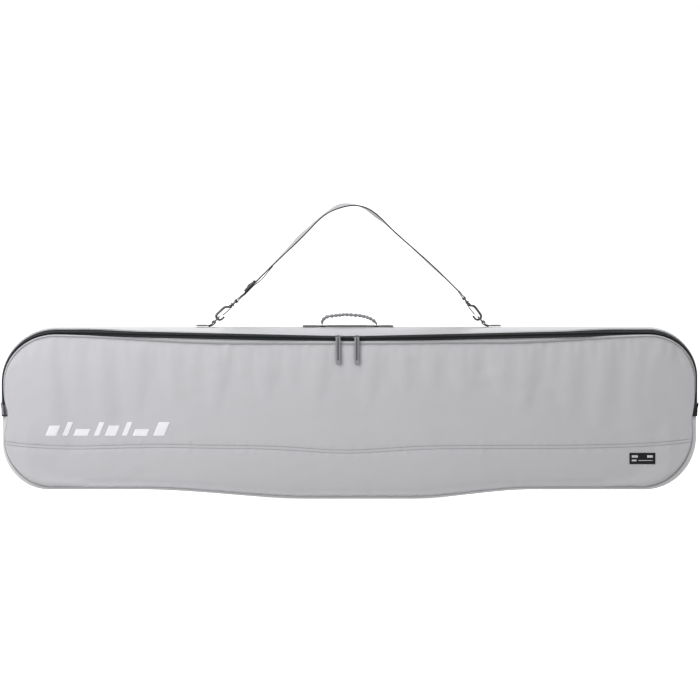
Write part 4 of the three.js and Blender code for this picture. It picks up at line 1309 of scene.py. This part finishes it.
def strap_loop(side):
    """Strap end folded round the eye's bar and sewn to itself."""
    axes = hook_axes(STRAP_ENDS[side])
    bar = 60.2
    ring = arc(bar, 0, 3.4, 50, 310, 40)
    upper = [(80.2, 1.35), (74, 1.35), (67, 1.6)]
    path = np.concatenate([upper, ring, [(x, -y) for x, y in upper[::-1]]])
    route, _ = catmull(path, 110)
    world = flat_path(axes, route)
    obj = ribbon(f"strap_fold_{side}", world[:, [0, 2]], STRAP_WIDTH, WEBBING, across=13, edge_round=0.35)
    finish_piece(obj, "webbing", "strap", (f"strap_loop_{side}",), edge="webbing_dark_and_shade")
    rows = []
    for at in (70.5, 77.5):
        for off in (2.75, -2.75):
            line = in_frame(axes, [(at, off, z) for z in np.linspace(-17, 17, 30)])
            rows.append(stitch_row("row", line, 3.2, 2.4, 0.4))
    obj = joined(f"strap_fold_stitches_{side}", rows)
    finish_piece(obj, "thread", "strap")


def d_ring(side):
    end = STRAP_ENDS[side]
    upward = np.array([end["bow"][0] - end["bar"][0], 0, end["bow"][1] - end["bar"][1]])
    upward /= np.linalg.norm(upward)
    y = np.array([0, 1.0, 0])
    axes = (np.array([end["bar"][0], 0, end["bar"][1]]), y, upward, np.cross(y, upward))
    t = np.linspace(0, math.pi, 34)[1:-1]
    bow = np.column_stack([15.5 * np.cos(t), 3 + 15 * np.sin(t) ** 0.8])
    path = np.concatenate([[(x, 0) for x in np.linspace(-12.5, 12.5, 9)], [(14.4, 0.5), (15.4, 1.8)],
                           bow, [(-15.4, 1.8), (-14.4, 0.5)]])
    obj = tube(f"d_ring_rod_{side}", flat_path(axes, path), 1.75, 12, True, up=tuple(axes[3]))
    finish_piece(obj, "metal", "bag", (f"d_ring_{side}",))


def strap_tab(side):
    """Webbing tab sewn flat on the crown, folded round the ring's bar, with a box of stitches and one
    diagonal across it.
    """
    end = STRAP_ENDS[side]
    bx, bz = end["bar"]
    out = end["outward"]
    ring = arc(0, 0, 3.6, 236, -52, 34)
    ring = np.column_stack([bx - out * ring[:, 0], bz + ring[:, 1]])
    top = [(bx + out * 40, 397.0), (bx + out * 30, 396.9), (bx + out * 18, 396.9), (bx + out * 10, 397.6),
           (bx + out * 5, 399.4)]
    path = np.concatenate([top, ring[2:], [(bx + out * 3.5, 397.3), (bx + out * 12, 395.0)]])
    route, _ = catmull(path, 120)
    obj = ribbon(f"strap_tab_fold_{side}", route, 25, WEBBING, across=13, edge_round=0.35)
    finish_piece(obj, "webbing", "bag", (f"strap_tab_{side}",), edge="webbing_dark_and_shade")
    rows = []
    z = 398.3
    x0, x1 = sorted((bx + out * 38, bx + out * 16))
    box = [(x0, -10), (x1, -10), (x1, 10), (x0, 10), (x0, -10)]
    for a, b in zip(box, box[1:]):
        rows.append(stitch_row("row", [(*a, z), (*b, z)], 3.2, 2.4, 0.4))
    rows.append(stitch_row("row", [(x0, -10, z), (x1, 10, z)], 3.2, 2.4, 0.4))
    obj = joined(f"strap_tab_stitches_{side}", rows)
    finish_piece(obj, "thread", "bag")


# ---- Print and label ----------------------------------------------------------------------------

def print_motif():
    """Generic motif: a row of slanted bars of different widths and heights."""
    shapes = []
    x = -697.0
    low = 146
    stroke, dash, block = (12, 178), (34, 162), (26, 170)
    for width, high in (block, stroke, dash, stroke, block, stroke, dash, (26, 178)):
        shapes.append([(x, low), (x + width, low), (x + width + 0.42 * (high - low), high),
                       (x + 0.42 * (high - low), high)])
        x += width + 13
    parts = []
    for quad in shapes:
        (x0, z0), (x1, _), (x2, z1), (x3, _) = quad
        rows, cols = 14, 10
        v = np.linspace(0, 1, rows)
        u = np.linspace(0, 1, cols)
        zz = z0 + (z1 - z0) * v[:, None] + 0 * u[None, :]
        left = x0 + (x3 - x0) * v
        right = x1 + (x2 - x1) * v
        xx = left[:, None] + (right - left)[:, None] * u[None, :]
        yy = surface_y(xx.ravel(), zz.ravel()).reshape(xx.shape)
        outer = np.stack([xx, yy - 0.35, zz], -1)
        inner = np.stack([xx, yy + 0.3, zz], -1)
        parts.append(slab("bar", outer, inner))
    obj = joined("print_motif", parts)
    finish_piece(obj, "ink", "bag")


def patch(name, x0, x1, z0, z1, lift, thick, rows=12, cols=24):
    xx, zz = np.meshgrid(np.linspace(x0, x1, cols), np.linspace(z0, z1, rows), indexing="ij")
    yy = surface_y(xx.ravel(), zz.ravel()).reshape(xx.shape)
    return slab(name, np.stack([xx, yy - lift, zz], -1), np.stack([xx, yy - lift + thick, zz], -1))


def label():
    """Woven label with generic blocks instead of words."""
    x, z, w, h = 671.0, 94.0, 59.0, 26.0
    obj = patch("label_patch", x - w / 2, x + w / 2, z - h / 2, z + h / 2, 1.1, 0.9)
    finish_piece(obj, "label", "bag", ("label",))
    marks = [(-24, -10, 2.0, 7.5), (11, 24, 2.0, 7.5), (-24, -13, -6.5, -2.5), (-9, 24, -5.2, -3.8)]
    parts = [patch("mark", x + a, x + b, z + c, z + d, 1.35, 0.5, 5, 8) for a, b, c, d in marks]
    finish_piece(joined("label_marks", parts), "label_mark", "bag")


# ---- Build the bag --------------------------------------------------------------------------------

FRONT = panel_grid(True)
FRONT_X = FRONT[:, 0, 0]
front_nodes = ("front_lower_panel", "front_flap", "front_lower_padding", "front_flap_padding")
front_panel = padded_panel("front_panel", FRONT, True, front_nodes, None)
padded_panel("back_panel_fabric", panel_grid(False), False, ("back_panel", "back_padding"), "bag")
upper_gusset()
lower_gusset()
front_piping = piping(True)
piping(False)
flap_strip()

rear = hem_reach(UP.x, UP.way)
zip_tape("zip_tape_rear", -rear - 4, -0.7, "bag", ("zipper_tape_gusset",))
zip_tape("zip_tape_front", 0.7, flap_reach(UP.x, UP.way) + 1.5, "flap", ("zipper_tape_flap",))
zip_coil("zip_coil_rear", -1, "bag", ("zipper_coil_gusset",))
zip_coil("zip_coil_front", 1, "flap", ("zipper_coil_flap",))

for side in ("left", "right"):
    zip_slider(side)
    puller(side)
    zip_end_tab(side)
    strap_tab(side)
    d_ring(side)
    snap_hook(side)
    eye(side)
    strap_loop(side)

handle_base()
handle()
strap()
buckle()
print_motif()
label()

seam_rows = []
for apart in (-3.5, 3.5):
    seam_z = stitch_z(FRONT_X) + apart
    seam = np.column_stack([FRONT_X, surface_y(FRONT_X, seam_z) - 0.15, seam_z])
    seam_rows.append(stitch_row("row", seam[6:-6], 4.2, 3.2, 0.45))
finish_piece(joined("front_seam_stitches", seam_rows), "thread", "bag")

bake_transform(front_panel)
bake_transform(front_piping)


# ---- Floor, light and camera --------------------------------------------------------------------

def floor():
    data = bpy.data.meshes.new("floor")
    corners = [(60 * x, 60 * y, -0.002) for x, y in ((-1, -1), (1, -1), (1, 1), (-1, 1))]
    data.from_pydata(corners, [], [(0, 1, 2, 3)])
    obj = bpy.data.objects.new("floor", data)
    bpy.context.scene.collection.objects.link(obj)
    m = Nodes("floor", 0.9)
    mottled = m.between(m.noise(0.6, 2.0), (0.34, 0.34, 0.34), (0.36, 0.36, 0.36))
    m.link(mottled, m.bsdf.inputs["Base Color"])
    m.bsdf.inputs["Emission Color"].default_value = (1, 1, 1, 1)
    m.bsdf.inputs["Emission Strength"].default_value = 0.92
    obj.data.materials.append(m.mat)


def area_light(name, place, target, size, power, colour=(1, 1, 1)):
    data = bpy.data.lights.new(name, "AREA")
    data.shape = "RECTANGLE"
    data.size, data.size_y = size
    data.energy = power
    data.color = colour
    obj = bpy.data.objects.new(name, data)
    obj.location = place
    obj.rotation_euler = (Vector(target) - Vector(place)).to_track_quat("-Z", "Y").to_euler()
    bpy.context.scene.collection.objects.link(obj)


def world(strength):
    w = bpy.data.worlds.new("studio")
    w.use_nodes = True
    w.node_tree.nodes["Background"].inputs["Color"].default_value = (1, 1, 1, 1)
    w.node_tree.nodes["Background"].inputs["Strength"].default_value = strength
    bpy.context.scene.world = w


def camera(distance, elevation, aim, span):
    cam = bpy.data.cameras.new("camera")
    cam.lens = 36 * distance / span
    cam.clip_end = 100
    obj = bpy.data.objects.new("camera", cam)
    e = math.radians(elevation)
    target = Vector((0.0012, 0, aim))
    obj.location = target + Vector((0, -distance * math.cos(e), distance * math.sin(e)))
    obj.rotation_euler = (target - obj.location).to_track_quat("-Z", "Y").to_euler()
    bpy.context.scene.collection.objects.link(obj)
    bpy.context.scene.camera = obj


floor()
world(1.02)
area_light("key", (-1.9, -2.1, 1.3), (-0.3, 0, 0.25), (1.8, 1.8), 86, (1.0, 0.985, 1.0))
area_light("top", (-0.2, 0.25, 2.6), (0, 0, 0.3), (3.0, 0.8), 95)
area_light("fill", (3.4, -3.2, 1.6), (0.4, 0, 0.2), (2.0, 2.0), 3, (0.92, 1.0, 1.0))
camera(16.0, 2.0, 0.3404, 1.61)
bpy.context.scene.view_settings.view_transform = "Standard"
